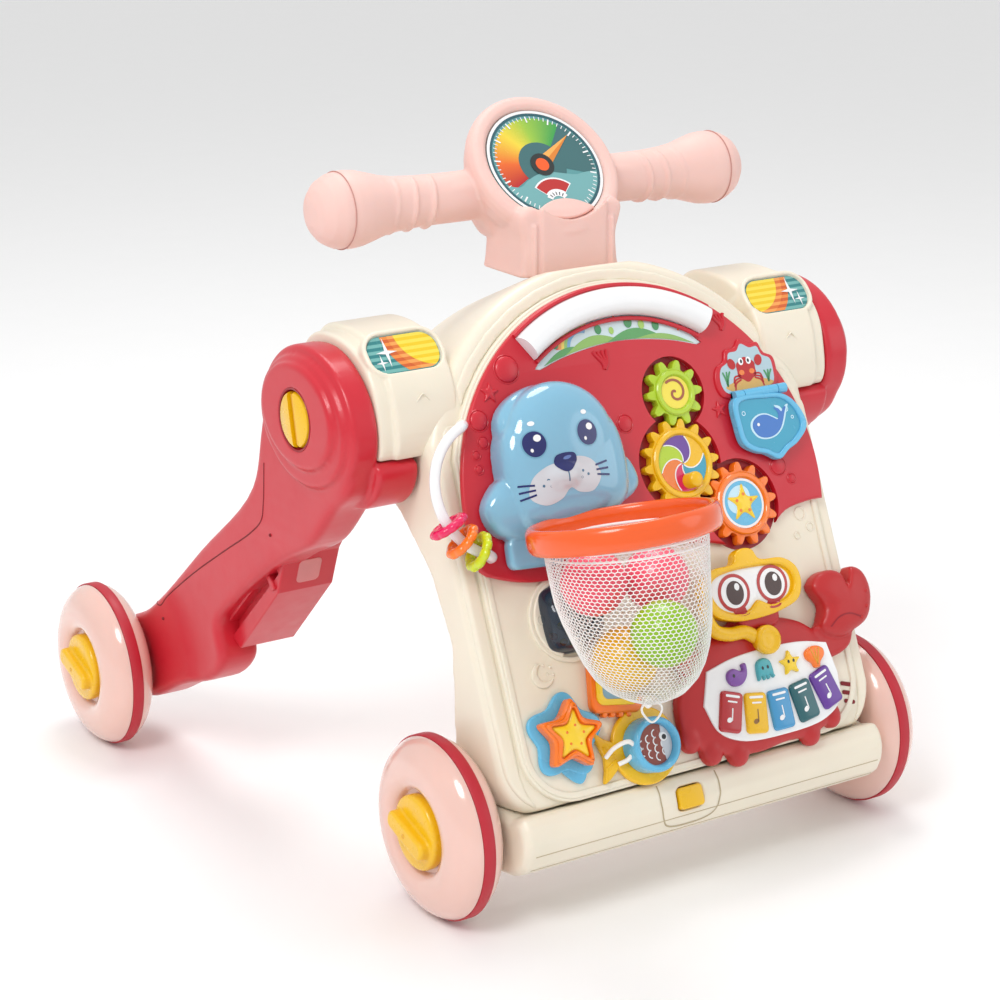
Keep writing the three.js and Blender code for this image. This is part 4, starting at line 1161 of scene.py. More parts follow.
def make_handle():
    handle = Piece("carry_handle_skin", "frame", PANEL, "carry_handle", "white_plastic")
    rows, sides = 60, 28
    points, faces = [], []
    for a in np.linspace(math.radians(56), math.radians(124), rows):
        for i in range(sides):
            t = math.pi * 2 * i / sides
            r = 126.2 + 9.3 * math.copysign(abs(math.cos(t)) ** 0.8, math.cos(t))
            h = 5.35 + max(0.0, 9.9 * math.copysign(abs(math.sin(t)) ** 0.8, math.sin(t)))
            points.append((r * math.cos(a), PANEL_C + r * math.sin(a), h))
    for k in range(rows - 1):
        for i in range(sides):
            j = (i + 1) % sides
            faces.append([k * sides + i, k * sides + j, (k + 1) * sides + j, (k + 1) * sides + i])
    faces += [list(range(sides))[::-1], list(range((rows - 1) * sides, rows * sides))]
    handle.add((np.array(points), faces, None), WHITE)
    handle.build(sharp=50)
    rim = Piece("handle_rims", "frame", PANEL, slot="red_plastic")
    for radius in (114.8, 137.0):
        arc = [(radius * math.cos(a), PANEL_C + radius * math.sin(a), 5.6)
               for a in np.linspace(math.radians(56), math.radians(124), 60)]
        rim.add(tube(arc, 1.5, 10), RED)
    rim.build()


def make_window():
    """The printed landscape under the carry handle: pale sky, a rainbow, hills and round trees."""
    art = Piece("landscape", "frame", PANEL, slot="picture_teal")
    edge = window_outline()
    art.add(plate(edge, 0.4, 4.0, 0.4, 2), WINDOW_SKY)
    h = 4.06
    for k, code in enumerate(RAINBOW):
        outer = 21 - 2.2 * k
        art.add(band(outer - 2.3, outer, 176, 70, h + 0.02 * k, 24, (-26, 368.6)), code)
    for x0, x1, top, material in ((-58, -24, 372.6, HILL_DARK), (-40, 4, 374.4, HILL),
                                  (-6, 40, 375.2, HILL_DARK),
                                  (16, 60, 371.8, HILL)):
        lower = lambda x: 369.9 - 0.0026 * x * x
        upper = [(x, lower(x) + (top - 368) * max(0.06, math.sin(math.pi * (x - x0) / (x1 - x0))))
                 for x in np.linspace(x1, x0, 18)]
        base = [(x, lower(x)) for x in np.linspace(x0, x1, 18)]
        art.add(flat_patch(np.array(base + upper), h + 0.14), material)
        h += 0.01
    for x, s, r, material in ((-47, 374, 3.4, TREE), (-12, 379, 3.2, TREE), (-2, 377, 2.4, TREE_PALE),
                              (12, 381, 4.0, TREE), (22, 378, 3.0, TREE_PALE), (33, 376, 3.4, TREE)):
        art.add(flat_patch(oval(x, s, r * 0.8, r, 26), h + 0.24), material)
    for x, s, r in ((2, 386, 1.0), (-8, 387, 0.8), (28, 384, 1.0), (44, 376, 0.9), (50, 371, 0.8)):
        art.add(flat_patch(oval(x, s, r, count=16), h + 0.3), ORANGE)
    art.build()


WINDOW_SKY = moulded("window_sky", "cfe3e6", 0.18, 0.6)
HILL = moulded("hill_green", "86b556", 0.2, 0.5)
HILL_DARK = moulded("hill_dark", "4d9a52", 0.2, 0.5)
TREE = moulded("tree_green", "2f8a4c", 0.2, 0.5)
TREE_PALE = moulded("tree_pale", "9cc75a", 0.2, 0.5)
RAINBOW = [moulded(f"rainbow_{i}", code, 0.2, 0.5)
           for i, code in enumerate(("d8584e", "eb9b4b", "efd95c", "8fc46c", "6fa6cf"))]


# ---- seal, hoop, net and balls ----
def make_seal():
    head = smooth([(-108, 300), (-108, 330), (-97, 343), (-74, 350), (-48, 342), (-33, 326), (-27, 302),
                   (-17, 292), (-14, 276), (-30, 266), (-70, 262), (-108, 256), (-124, 262), (-130, 278),
                   (-120, 292)], 6)
    seal = Piece("seal_skin", "frame", PANEL, "seal", "seal_blue")
    seal.add(domed(head, 5.35, 12, 25, 2.6, 18, (-70, 292)), SEAL_BLUE)
    seal.add(plate(rounded(-99, 247, 40, 20, 5, -4), 5.35, 15, 3, 4), SEAL_BLUE)
    seal.add(domed(oval(-68.5, 312, 40, 38, 90), 5.35, 16, 35, 2.5, 20), SEAL_BLUE)
    seal.add(domed(smooth([(-109, 322), (-68, 350), (-29, 322), (-24, 290), (-32, 266), (-70, 260),
                           (-108, 262),
                           (-114, 290)], 8), 5.35, 15, 33.5, 2.8, 18), SEAL_BLUE)
    seal.add(domed(oval(-79, 289, 15, 10, 50), 20, 29, 36.5, 2.0, 14), SEAL_BLUE)
    floor = Piece("floor", "frame")
    floor.add(plate(rounded(-70, 300, 200, 160, 2), -20, 5.35), SEAL_BLUE)
    seal.build(fuse=0.95, soften=9, cut=(floor,))
    skin = Surface(bpy.data.objects["seal_skin"])
    face = Piece("seal_face", "frame", PANEL, slot="seal_blue")
    for x, s in ((-95.5, 311.5), (-57.5, 313.0)):
        face.add(printed(oval(x, s, 8.3, 8.9, 44), skin, 0.14, 6), SEAL_SHADE)
        face.add(printed(oval(x, s, 7.4, 8.1, 44), skin, 0.26, 6), NAVY)
        face.add(printed(oval(x + 2.2, s + 3.4, 2.4, 2.2, 24), skin, 0.4, 4), WHITE)
        face.add(printed(oval(x - 2.4, s - 3.6, 1.0, 1.2, 16), skin, 0.4, 3), WHITE)
        face.add(printed(oval(x + 1, s + 13, 2.2, 1.5, 20), skin, 0.2, 3), WHITE)
    muzzle = smooth([(-78, 298), (-68, 299.5), (-57, 295), (-53, 286), (-60, 277), (-71, 277.5), (-77, 281),
                     (-84, 275.5), (-96, 273), (-105, 279), (-102, 290), (-91, 296.5)], 6)
    face.add(printed(muzzle, skin, 0.16, 8), GREY)
    face.add(stroke(open_line([(-78.5, 295), (-78.4, 290), (-78.6, 285)], 6), 0.9, skin, 0.3), SEAL_LINE)
    nose = smooth([(-84, 301.5), (-77, 303), (-70, 301.5), (-69.5, 297), (-74, 292.6), (-78.5, 291),
                   (-82.5, 292.6),
                   (-85.5, 297)], 6)
    face.add(printed(nose, skin, 0.36, 7), NAVY)
    face.add(printed(oval(-76, 299.8, 3.0, 1.1, 20, 8), skin, 0.52, 3), SEAL_GLINT)
    for x, s in ((-92, 288), (-95.5, 285), (-90.5, 284), (-66, 290), (-62.5, 287.3), (-67.5, 286)):
        face.add(printed(oval(x, s, 0.9, 0.9, 14), skin, 0.3, 2), SEAL_LINE)
    for sign, x0, s0 in ((-1, -104, 283.5), (1, -53, 289)):
        for k in (-1, 0, 1):
            line = [(x0 + sign * t, s0 + 3.4 * k + k * t * 0.16) for t in np.linspace(-3, 6.5, 8)]
            face.add(stroke(line, 1.25, skin, 0.34), NAVY)
    face.build()


SEAL_SHADE = moulded("seal_shade", "6aa3bf", 0.16, 0.6)
SEAL_LINE = moulded("seal_line", "4a6f8c", 0.2, 0.5)
SEAL_GLINT = moulded("seal_glint", "5f79b8", 0.15, 0.6)


def make_hoop():
    hoop = Piece("hoop_skin", "frame", HOOP, "hoop", "orange_plastic")
    inner, outer = HOOP_R - 7, HOOP_R
    profile = [(inner + 2.0, -7.8), (outer - 2.6, -7.8), (outer - 0.6, -5.4), (outer, 0), (outer - 0.6, 5.4),
               (outer - 2.6, 7.9), (inner + 2.0, 7.9), (inner + 0.4, 6.0), (inner, 0), (inner + 0.4, -6.0)]
    hoop.add(lathe(smooth(profile, 3), 128, closed=True), ORANGE)
    hoop.build(sharp=60)


def bag_radius(depth):
    """The hanging net's radius at a depth below the hoop."""
    knots = [(0, 49.5), (14, 48.6), (30, 47.6), (46, 46.6), (58, 44.6), (70, 41.4), (80, 37.4), (89, 32.0),
             (97, 24.5), (102.5, 15.0), (106, 6.0), (107, 2.2)]
    depths, radii = zip(*knots)
    return float(np.interp(depth, depths, radii))


def bag_point(a, r, depth):
    """The bag is a little deeper than wide. Its foot drifts right and forward."""
    x, y = r * math.cos(a), r * math.sin(a)
    tip = max(0.0, 1 - depth / 70)
    return (x + 0.045 * depth, 1.05 * y - 0.2 * depth, -depth + tip * (0.017 * x - 0.268 * y))


def make_net():
    """A knitted bag: a six-sided mesh of thin yarn, gathered at the foot."""
    around, rows = 164, 50
    points, faces, index = [], [], {}
    top, bottom = 5.0, 107.0

    def place(a, depth):
        fold = 0.8 * math.sin(5 * a + 0.05 * depth) * min(1.0, depth / 40) * (1 if depth < 96 else 0.25)
        return bag_point(a, bag_radius(depth) + fold, depth)

    def vertex(i, j):
        key = (i % around, j)
        if key not in index:
            row, part = divmod(j, 2)
            # the rows of a honeycomb stand in pairs, a short step apart
            depth = top + (bottom - top) * ((row + (0.34 if part else 0.0)) / rows)
            index[key] = len(points)
            points.append(place(2 * math.pi * (i % around) / around, depth))
        return index[key]

    for row in range(rows - 1):
        for i in range(around // 2):
            k = 2 * i + (row % 2)
            faces.append([vertex(k, 2 * row + 1), vertex(k + 1, 2 * row), vertex(k + 2, 2 * row + 1),
                          vertex(k + 2, 2 * row + 2), vertex(k + 1, 2 * row + 3), vertex(k, 2 * row + 2)])
    net = Piece("net_skin", "frame", NET_TOP, "net", "net_fabric")
    net.add((np.array(points), faces, None), NET)
    mesh = net.mesh()
    obj = bpy.data.objects.new("net_skin", mesh)
    bpy.context.scene.collection.objects.link(obj)
    yarn = obj.modifiers.new("yarn", "WIREFRAME")
    yarn.thickness = 0.7 * MM
    yarn.use_replace = True
    yarn.use_even_offset = False
    baked(obj)
    extra = Piece("net_ends", "frame", NET_TOP)
    for depth, radius in ((4.0, 1.0), (7.5, 0.8), (12.0, 0.6)):
        ring = [place(a, depth) for a in np.linspace(0, 2 * math.pi, 96, endpoint=False)]
        extra.add(tube(ring, radius, 6, True), NET)
    foot = bag_point(0, 0, bottom)
    extra.add(ball(foot, 2.8, 10, 14, (1, 1, 1.5)), NET)
    loop = [(foot[0] + 3 + 5.0 * math.sin(t) + 1.5 * math.sin(2 * t), foot[1] - 3 * math.sin(t),
             foot[2] - 7.5 + 6.5 * math.cos(t)) for t in np.linspace(0, 2 * math.pi, 30, endpoint=False)]
    extra.add(tube(loop, 0.7, 8, True), NET)
    bm = bmesh.new()
    bm.from_mesh(obj.data)
    bm.from_mesh(extra.mesh())
    bm.to_mesh(obj.data)
    bm.free()
    obj.data.materials.clear()
    obj.data.materials.append(NET)
    obj.data.polygons.foreach_set("use_smooth", [True] * len(obj.data.polygons))
    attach(obj, "frame")
    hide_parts("net")


BALLS = (((-95, -62, 227), "pink", "f4546e"), ((-48, -62, 221), "rose", "f2607a"),
         ((-71, -102, 202), "green", "97c81c"), ((-76, -70, 176), "yellow", "f2c021"))


def make_balls():
    for k, (centre, word, code) in enumerate(BALLS):
        ball_piece = Piece(f"ball_{word}_skin", "frame", WALKER, f"ball_{word}", f"ball_{word}")
        skin = moulded(f"ball_{word}", code, 0.3, 0.25, soft=0.15)
        turn = Matrix.Translation(centre) @ Matrix.Rotation(0.6 + k, 4, "X") @ Matrix.Rotation(0.4 * k, 4,
                                                            "Y")
        r = 20.5
        profile = []
        for a in np.linspace(0, math.pi, 61):
            groove = 0.35 * math.exp(-((a - math.pi / 2) / 0.018) ** 2)
            profile.append((max(0.0, (r - groove) * math.sin(a)), -(r - groove) * math.cos(a)))
        profile[0], profile[-1] = (0, -r), (0, r)
        ball_piece.add(lathe(profile, 72), skin, turn)
        ball_piece.build(sharp=80)


# ---- gears ----
def gear_outline(teeth, turn):
    """An involute-like gear seen from above, tooth tips rounded."""
    pitch, tip, root = gear_size(teeth)
    base = pitch * math.cos(math.radians(27))

    def involute(r):
        if r <= base:
            return 0
        return math.sqrt((r / base) ** 2 - 1) - math.acos(base / r)

    half = math.pi / (2 * teeth) - 0.022 + involute(pitch)
    points = []
    for t in range(teeth):
        middle = turn + 2 * math.pi * t / teeth
        flank = [(r, half - involute(r)) for r in np.linspace(max(root, base), tip - 0.7, 6)]
        left = [(root, half + 0.04)] + flank + [(tip, max(0.02, flank[-1][1] - 0.035))]
        for r, a in left:
            points.append((r * math.cos(middle - a), r * math.sin(middle - a)))
        for r, a in left[::-1]:
            points.append((r * math.cos(middle + a), r * math.sin(middle + a)))
    return np.array(points)


def gear_turn(word):
    teeth, x, s = GEARS[word]
    if word == "yellow":
        return 0.0
    line = math.atan2(s - GEARS["yellow"][2], x - GEARS["yellow"][1])
    lead = GEARS["yellow"][0]
    share = (line * lead / (2 * math.pi)) % 1
    return line + math.pi + math.pi / teeth + share * 2 * math.pi / teeth


def make_gears():
    base = {"green": GREEN, "yellow": YELLOW, "orange": RING_ORANGE}
    for word, (teeth, x, s) in GEARS.items():
        at = PANEL @ Matrix.Translation((x, s, 0))
        pitch = gear_size(teeth)[0]
        gear = Piece(f"gear_{word}_skin", f"gear_{word}_body", at, f"gear_{word}", f"{word}_plastic")
        gear.add(plate(gear_outline(teeth, gear_turn(word)), 0.4, 7.0, 0.5, 2), base[word])
        gear.add(lathe([(0, 5), (pitch - 4.4, 5), (pitch - 4.4, 8.2), (pitch - 5.2, 9), (pitch - 7.4, 9),
                        (pitch - 8.2, 8.2), (pitch - 8.6, 7.2), (0, 7.2)], 72), base[word])
        print_gear(gear, word, pitch)
        gear.build(sharp=32)


def print_gear(gear, word, pitch):
    inner = pitch - 8.8
    disc = oval(0, 0, inner, count=56)
    if word == "green":
        gear.add(flat_patch(disc, 7.35), GEAR_SUN)
        swirl = [(inner * 0.86 * t * math.cos(7.5 * t + 1), inner * 0.86 * t * math.sin(7.5 * t + 1))
                 for t in np.linspace(0.08, 1, 60)]
        gear.add(ribbon(swirl, 1.7, 7.4, 7.6), GEAR_RUST)
    elif word == "yellow":
        for k, material in enumerate((KEY_PURPLE, GREEN, RING_ORANGE, MAGENTA, SKY_DEEP, YELLOW)):
            fan = swirl_sector(inner, k, 6)
            gear.add(flat_patch(fan, 7.35 + 0.02 * k), material)
        for k in range(6):
            line = [(r * math.cos(k * math.pi / 3 + 0.07 * r), r * math.sin(k * math.pi / 3 + 0.07 * r))
                    for r in np.linspace(1.5, inner - 0.6, 16)]
            gear.add(ribbon(line, 0.8, 7.46, 7.6), WHITE)
        gear.add(domed(oval(2, -12, 5.2, count=40), 6.5, 14.5, 18, 2.4, 10), YELLOW)
    else:
        gear.add(flat_patch(disc, 7.35), WHITE)
        gear.add(flat_patch(oval(0, 0, inner - 1.6, count=56), 7.42), SKY)
        gear.add(flat_patch(oval(-3, 3, inner * 0.62, inner * 0.5, 40, 40), 7.47), SKY_PALE)
        gear.add(domed(star(0, 0, inner * 0.78, inner * 0.36, 84), 7.0, 7.7, 8.6, 2.0, 5), STAR_YELLOW)
        for k in range(5):
            a = math.radians(84 + 72 * k)
            spot = oval(inner * 0.36 * math.cos(a), inner * 0.36 * math.sin(a), 1.1, count=14)
            gear.add(flat_patch(spot, 8.6), RING_ORANGE)


def swirl_sector(radius, k, count):
    start = 2 * math.pi * k / count
    end = start + 2 * math.pi / count
    out = [(r * math.cos(start + 0.07 * r), r * math.sin(start + 0.07 * r)) for r in np.linspace(0, radius,
                                                            12)]
    rim = [(radius * math.cos(a + 0.07 * radius), radius * math.sin(a + 0.07 * radius))
           for a in np.linspace(start, end, 10)[1:-1]]
    back = [(r * math.cos(end + 0.07 * r), r * math.sin(end + 0.07 * r)) for r in np.linspace(radius, 0,
                                                            12)[:-1]]
    return np.array(out + rim + back)


GEAR_SUN = moulded("gear_sun", "eedb3c", 0.22, 0.5)
GEAR_RUST = moulded("gear_rust", "9a4a22", 0.22, 0.5)
SKY_PALE = moulded("sky_pale", "bfe3f2", 0.2, 0.5)
STAR_YELLOW = moulded("star_yellow", "f4cf28", 0.25, 0.4)
KEY_PURPLE = moulded("key_purple", "5f2a96", 0.2, 0.6)
KEY_TEAL = moulded("key_teal", "0b5a62", 0.2, 0.6)
KEY_SKY = moulded("key_sky", "3a94c8", 0.2, 0.6)
KEY_RED = moulded("key_red", "b3141f", 0.2, 0.6)


# ---- crab picture and shell door ----
def make_door():
    picture = Piece("crab_picture_skin", "frame", PANEL, slot="picture_teal")
    fan = smooth([(72, 322), (69, 331), (72, 341), (79, 345), (82, 352), (90, 353), (95, 358), (103, 354),
                  (110, 354), (113, 347), (120, 343), (121, 333), (119, 324), (108, 320), (94, 318),
                  (82, 319)], 5)
    picture.add(plate(fan, 0.4, 6.8, 1.4, 3), RED)
    inner = np.array([(95.5 + (x - 95.5) * 0.86, 336 + (s - 336) * 0.84) for x, s in fan])
    picture.add(flat_patch(inner, 6.95), CRAB_SKY)
    sand = smooth([(76, 327), (84, 330), (95, 332), (106, 330), (116, 326), (108, 323), (95, 321.5),
                   (84, 323)], 5)
    picture.add(flat_patch(sand, 7.03), SAND)
    for x, s, k in ((78, 328, 1), (112, 327, 0.8)):
        for lean_by in (-2, 1, 3.5):
            blade = open_line([(x, s), (x + lean_by * 0.4, s + 5 * k), (x + lean_by, s + 9 * k)], 5)
            picture.add(ribbon(blade, 1.3, 6.9, 7.1), TREE)
    crab = petals(95.5, 337, 8.0, 0.5, 6, 90, 48)
    picture.add(flat_patch(crab, 7.12), CRAB_RED)
    for sign in (-1, 1):
        picture.add(flat_patch(oval(95.5 + sign * 4.2, 335.4, 2.2, 1.8, 18), 7.2), RING_ORANGE)
        picture.add(flat_patch(oval(95.5 + sign * 3.2, 342.8, 2.1, 2.5, 20), 7.2), WHITE)
        picture.add(flat_patch(oval(95.5 + sign * 2.9, 342.8, 0.9, 1.3, 16), 7.26), BLACK)
        picture.add(flat_patch(oval(95.5 + sign * 11.2, 342, 3.1, 3.8, 22, sign * -25), 7.18), CRAB_RED)
        for k in range(3):
            leg = open_line([(95.5 + sign * 6, 333.5 - 1.4 * k), (95.5 + sign * 10.5, 333 - 2.2 * k),
                             (95.5 + sign * 12, 329.5 - 2.4 * k)], 4)
            picture.add(ribbon(leg, 1.2, 6.9, 7.12), CRAB_RED)
    picture.build(sharp=35)
    outline = smooth([(76, 318), (74, 300), (76, 288), (84, 282), (93, 279), (103, 274), (112, 279),
                      (121, 283),
                      (131, 293), (128, 306), (118, 316), (100, 319)], 7)
    door = Piece("shell_door_skin", "shell_door_body", PANEL, "shell_door", "door_blue")
    door.add(plate(outline, 6.3, 11.2, 1.6, 4), SKY)
    middle = np.array((101.0, 299.0))
    door.add(plate([outline, middle + (outline - middle) * 0.84], 10, 12.8, 1.1, 3), SKY)
    door.add(flat_patch(middle + (outline - middle) * 0.83, 11.35), SKY_DEEP)
    door.add(flat_patch(whale(100, 297, 1.22), 11.45), SKY_PALE)
    door.add(flat_patch(whale(100, 297, 1.08), 11.55), WHALE_BLUE)
    door.add(flat_patch(oval(92, 299, 1.1, count=16), 11.62), WHITE)
    for x, s, r in ((117, 306, 2.0), (121, 300, 1.3), (82, 308, 1.6)):
        door.add(band(r - 0.6, r, 0, 360, 11.5, 20, (x, s)), SKY_PALE)
    door.add(tube([(86.2, 320.5, 9.6), (113.8, 320.5, 9.6)], 3.4, 28), SKY)
    door.build(sharp=40)
    knuckles = Piece("door_knuckles", "frame", PANEL, slot="door_blue")
    for low, high in ((78.5, 85.6), (114.4, 121.5)):
        knuckles.add(tube([(low, 320.5, 9.6), (high, 320.5, 9.6)], 3.4, 28), SKY)
        knuckles.add(plate(rounded((low + high) / 2, 321, high - low, 6, 1), 5.2, 9, 0.6), SKY)
    knuckles.build()
    inside = Piece("door_recess_print", "frame", PANEL, slot="door_blue")
    inside.add(flat_patch(rounded(101, 300, 64, 42, 11), 0.5), SKY_DEEP)
    inside.build()


def whale(x, s, k):
    """A small whale's outline, its tail to the right."""
    points = [(-12, 0), (-11, 4), (-6, 7), (0, 7), (5, 4.5), (8, 3), (9, 7), (6.5, 10.5), (10, 9.6),
              (12, 7.4),
              (14, 9.6), (16, 10), (14, 6), (12, 2), (9, -2.5), (4, -6), (-3, -7), (-9, -5)]
    return smooth([(x + k * u, s + k * v) for u, v in points], 4)


CRAB_SKY = moulded("crab_sky", "a9c4cf", 0.2, 0.5)
SAND = moulded("sand_print", "d0a24c", 0.25, 0.5)
WHALE_BLUE = moulded("whale_blue", "2a6fc0", 0.22, 0.5)


# ---- rattle drum, moon, star, square and fish ----
def make_rattle():
    x, s = DRUM
    rim = Piece("rattle_rim", "frame", PANEL, slot="cream_plastic")
    rim.add(plate([oval(x, s, 28.5, count=72), oval(x, s, 25.0, count=72)], -1.5, 2.2, 1.0, 3), CREAM)
    rim.build()
    drum = Piece("rattle_skin", "rattle_body", PANEL, "rattle_drum", "smoke_plastic")
    profile = [(0, -20.6), (12, -20.4), (17.5, -19.2), (20.5, -16.0), (22.4, -10), (23.2, 0), (22.4, 10),
               (20.5, 16.0), (17.5, 19.2), (12, 20.4), (0, 20.6)]
    shell = moved(lathe(smooth_profile(profile), 72), Matrix.Translation((x, s, -4)) @ ALONG_X)
    drum.add(shell, SMOKE)
    drum.build(sharp=60)
    beads = Piece("rattle_beads", "rattle_body", PANEL, slot="smoke_plastic")
    spots = [(-14, -9, 8), (-9, -13, 8.5), (-3, -14.5, 9), (3, -13, 9.5), (9, -12, 9), (14, -8, 8),
             (-6, -8.5, 13),
             (1, -9, 14), (7, -7, 13.2), (-11, -4, 12.6), (12, -2, 12)]
    for k, (dx, ds, dh) in enumerate(spots):
        beads.add(ball((x + dx, s + ds, dh - 4), 2.3, 10, 14), (RING_ORANGE, YELLOW, LIME, MAGENTA)[k % 4])
    beads.build()
    crescent = Piece("rattle_crescent", "frame", PANEL, slot="cream_plastic")
    outer = [(x - 25.6 * math.cos(t), s + 26.0 * math.sin(t)) for t in np.linspace(-1.15, 1.25, 26)]
    inner = [(x - 25.6 * math.cos(t) + 8.5 * math.cos(t * 1.2), s + 23.6 * math.sin(t))
             for t in np.linspace(1.25, -1.15, 26)]
    crescent.add(plate(np.array(outer + inner), -1, 3.4, 1.4, 4), CREAM)
    crescent.add(tube([(x - 21.2 + 2.6 * math.cos(t), s + 2 + 2.6 * math.sin(t), 3.3)
                       for t in np.linspace(0, 2 * math.pi, 24, endpoint=False)], 0.6, 6, True), CREAM)
    crescent.build()
    moon = Piece("moon_relief", "frame", PANEL, slot="cream_plastic")
    arc_out = [(-107 + 8 * math.cos(t), 171 + 8 * math.sin(t)) for t in np.linspace(1.9, 5.6, 20)]
    arc_in = [(-104.2 + 6.6 * math.cos(t), 172.6 + 6.2 * math.sin(t)) for t in np.linspace(5.45, 2.05, 20)]
    moon.add(plate(np.array(arc_out + arc_in), -0.5, 1.5, 0.6, 3), CREAM)
    for dx, ds in ((-1, 5), (4, 3), (5, -2), (1, -1)):
        moon.add(ball((-104 + dx, 172 + ds, 0.2), 0.9, 8, 12), CREAM)
    for u, v, r in ((-46, 232, 4.0), (-32, 222, 2.8), (-38, 242, 2.2), (118, 236, 4.2), (124, 226, 2.8),
                    (112, 222, 2.2), (-52, 222, 2.0)):
        moon.add(tube([(u + r * math.cos(t), v + r * math.sin(t), 0.1)
                       for t in np.linspace(0, 2 * math.pi, 32, endpoint=False)], 0.6, 8, True), CREAM)
    moon.build()


def smooth_profile(profile):
    """Rounds an open profile that starts and ends on the axis."""
    line = open_line(profile, 4)
    line[0, 0] = line[-1, 0] = 0.0
    line[:, 0] = np.maximum(line[:, 0], 0.0)
    return [tuple(p) for p in line]


def make_star():
    base = Piece("star_base_skin", "frame", PANEL, slot="door_blue")
    flower = petals(-102, 131, 24.5, 3.4, 5, 80, 110)
    base.add(plate(flower, 0.4, 4.0, 1.3, 4), SKY)
    tail = smooth([(-112, 116), (-104, 104), (-97, 100), (-92, 105), (-92, 116)], 6)
    base.add(plate(tail, 0.4, 3.4, 1.2, 3), SKY)
    base.build(sharp=40)
    knob = Piece("star_knob_skin", "star_body", PANEL, "star_knob", "orange_plastic")
    outer = star(-102, 131, 23, 14.2, 80, 5, 9)
    knob.add(plate(outer, 4.4, 13.5, 1.8, 4), RING_ORANGE)
    raised = [star(-102, 131, 20.9, 12.5, 80, 5, 9), star(-102, 131, 17.2, 9.6, 80, 5, 9)]
    knob.add(plate(raised, 12, 16.4, 1.4, 4), RING_ORANGE)
    knob.add(domed(star(-102, 131, 16.4, 8.9, 80, 5, 8), 12.5, 13.6, 16.0, 2.2, 8), STAR_YELLOW)
    for k in range(5):
        a = math.radians(80 + 72 * k)
        for r, size in ((10.5, 0.9), (6.3, 1.1)):
            knob.add(ball((-102 + r * math.cos(a), 131 + r * math.sin(a), 14.9 if r > 8 else 15.5), size, 8,
                          12,
                          (1, 1, 0.6)), RING_ORANGE)
    knob.build(sharp=40)


def make_square():
    block = Piece("square_skin", "frame", PANEL, slot="orange_plastic")
    at = shift(-59, 155, 0, -10)
    block.add(plate(rounded(0, 0, 38, 36, 6), 0.4, 6.8, 1.8, 4), RING_ORANGE, at)
    block.add(plate([rounded(0, 1, 31, 28, 5), rounded(0, 1, 22, 20, 4)], 6, 8.4, 1.0, 3), STAR_YELLOW, at)
    block.add(plate(rounded(0, 1, 22.4, 20.4, 4), 6, 7.2), GLASS_BLUE, at)
    # A pale streak on the blue glass: a painted reflection.
    block.add(flat_patch(smooth([(-9, 6), (-4, 9), (3, 8), (8, 3), (2, 4), (-4, 5)], 4), 7.3), SKY_PALE, at)
    for k in range(4):
        block.add(plate(rounded(-9 + 6 * k, -17.6, 3.6, 6, 1.5), 0.4, 5.8, 0.8), RING_ORANGE, at)
    block.build(sharp=40)


GLASS_BLUE = moulded("glass_blue", "7fa9be", 0.1, 0.8)


def make_fish():
    base = Piece("fish_base_skin", "frame", PANEL, slot="yellow_plastic")
    base.add(plate(oval(-46, 113, 25, count=84), 0.4, 5.0, 1.6, 4), YELLOW)
    tail = smooth([(-66, 117), (-76, 124), (-83, 130), (-80, 119), (-78, 112), (-79, 104), (-81, 96),
                   (-73, 100),
                   (-66, 107)], 6)
    base.add(plate(tail, 0.4, 4.8, 1.4, 4), YELLOW)
    for ds in (-6, 0, 6):
        base.add(tube([(-79 + abs(ds) * 0.15, 112 + ds * 1.1, 4.8), (-70, 112 + ds * 0.5, 4.9)], 0.6, 8),
                 YELLOW)
    base.build(sharp=40)
    ring = Piece("fish_ring_skin", "fish_body", PANEL, "fish_knob", "door_blue")
    outside = [(17.7, 5.4), (17.7, 17), (17.2, 19), (16.2, 20), (14.6, 20), (13.6, 19), (13.2, 17.4),
               (13.2, 15),
               (0, 15), (0, 5.4)]
    ring.add(moved(lathe(outside[::-1], 84), Matrix.Translation((-46, 113, 0))), SKY)
    h = 15.12
    ring.add(flat_patch(oval(-46, 113, 13, count=56), h), FISH_BROWN)
    for row in range(4):
        for col in range(4 - row % 2):
            cx, cs = -55 + 5.4 * row, 119.5 - 4.8 * col - (2.4 if row % 2 else 0)
            if (cx + 46) ** 2 + (cs - 113) ** 2 < 100:
                ring.add(band(2.1, 2.9, 90, 270, h + 0.1, 14, (cx, cs)), WHITE)
    ring.add(flat_patch(clip_disc((-46, 113), 12.9, np.array([(-44, 90), (-20, 90), (-20, 140), (-44, 140),
                                                              (-41, 113)])), h + 0.2), GREY)
    ring.add(flat_patch(oval(-38.6, 116.5, 2.8, count=24), h + 0.28), WHITE)
    ring.add(flat_patch(oval(-38.2, 116.3, 1.7, count=20), h + 0.34), BLACK)
    ring.build(sharp=40)
    cord = Piece("fish_string", "frame", PANEL, slot="white_plastic")
    path = open_line([(-78, 112, 6), (-74, 117, 12), (-66, 119, 17), (-61, 114, 15), (-64, 108, 10),
                      (-70, 106, 6.4)], 8)
    cord.add(tube(path, 1.5, 10), CORD_WHITE)
    cord.build()


FISH_BROWN = moulded("fish_brown", "8a3a2c", 0.25, 0.5)
CORD_WHITE = cloth("string_cord", "efeeea")


# ---- crab, keys and picture buttons ----
MASK = [(12, 196), (15, 206), (26, 212), (42, 213), (45, 219), (52, 221.5), (59, 219.5), (63, 213), (82, 210),
        (91, 203), (93, 193), (88, 182), (74, 177), (56, 175), (36, 176), (20, 182)]


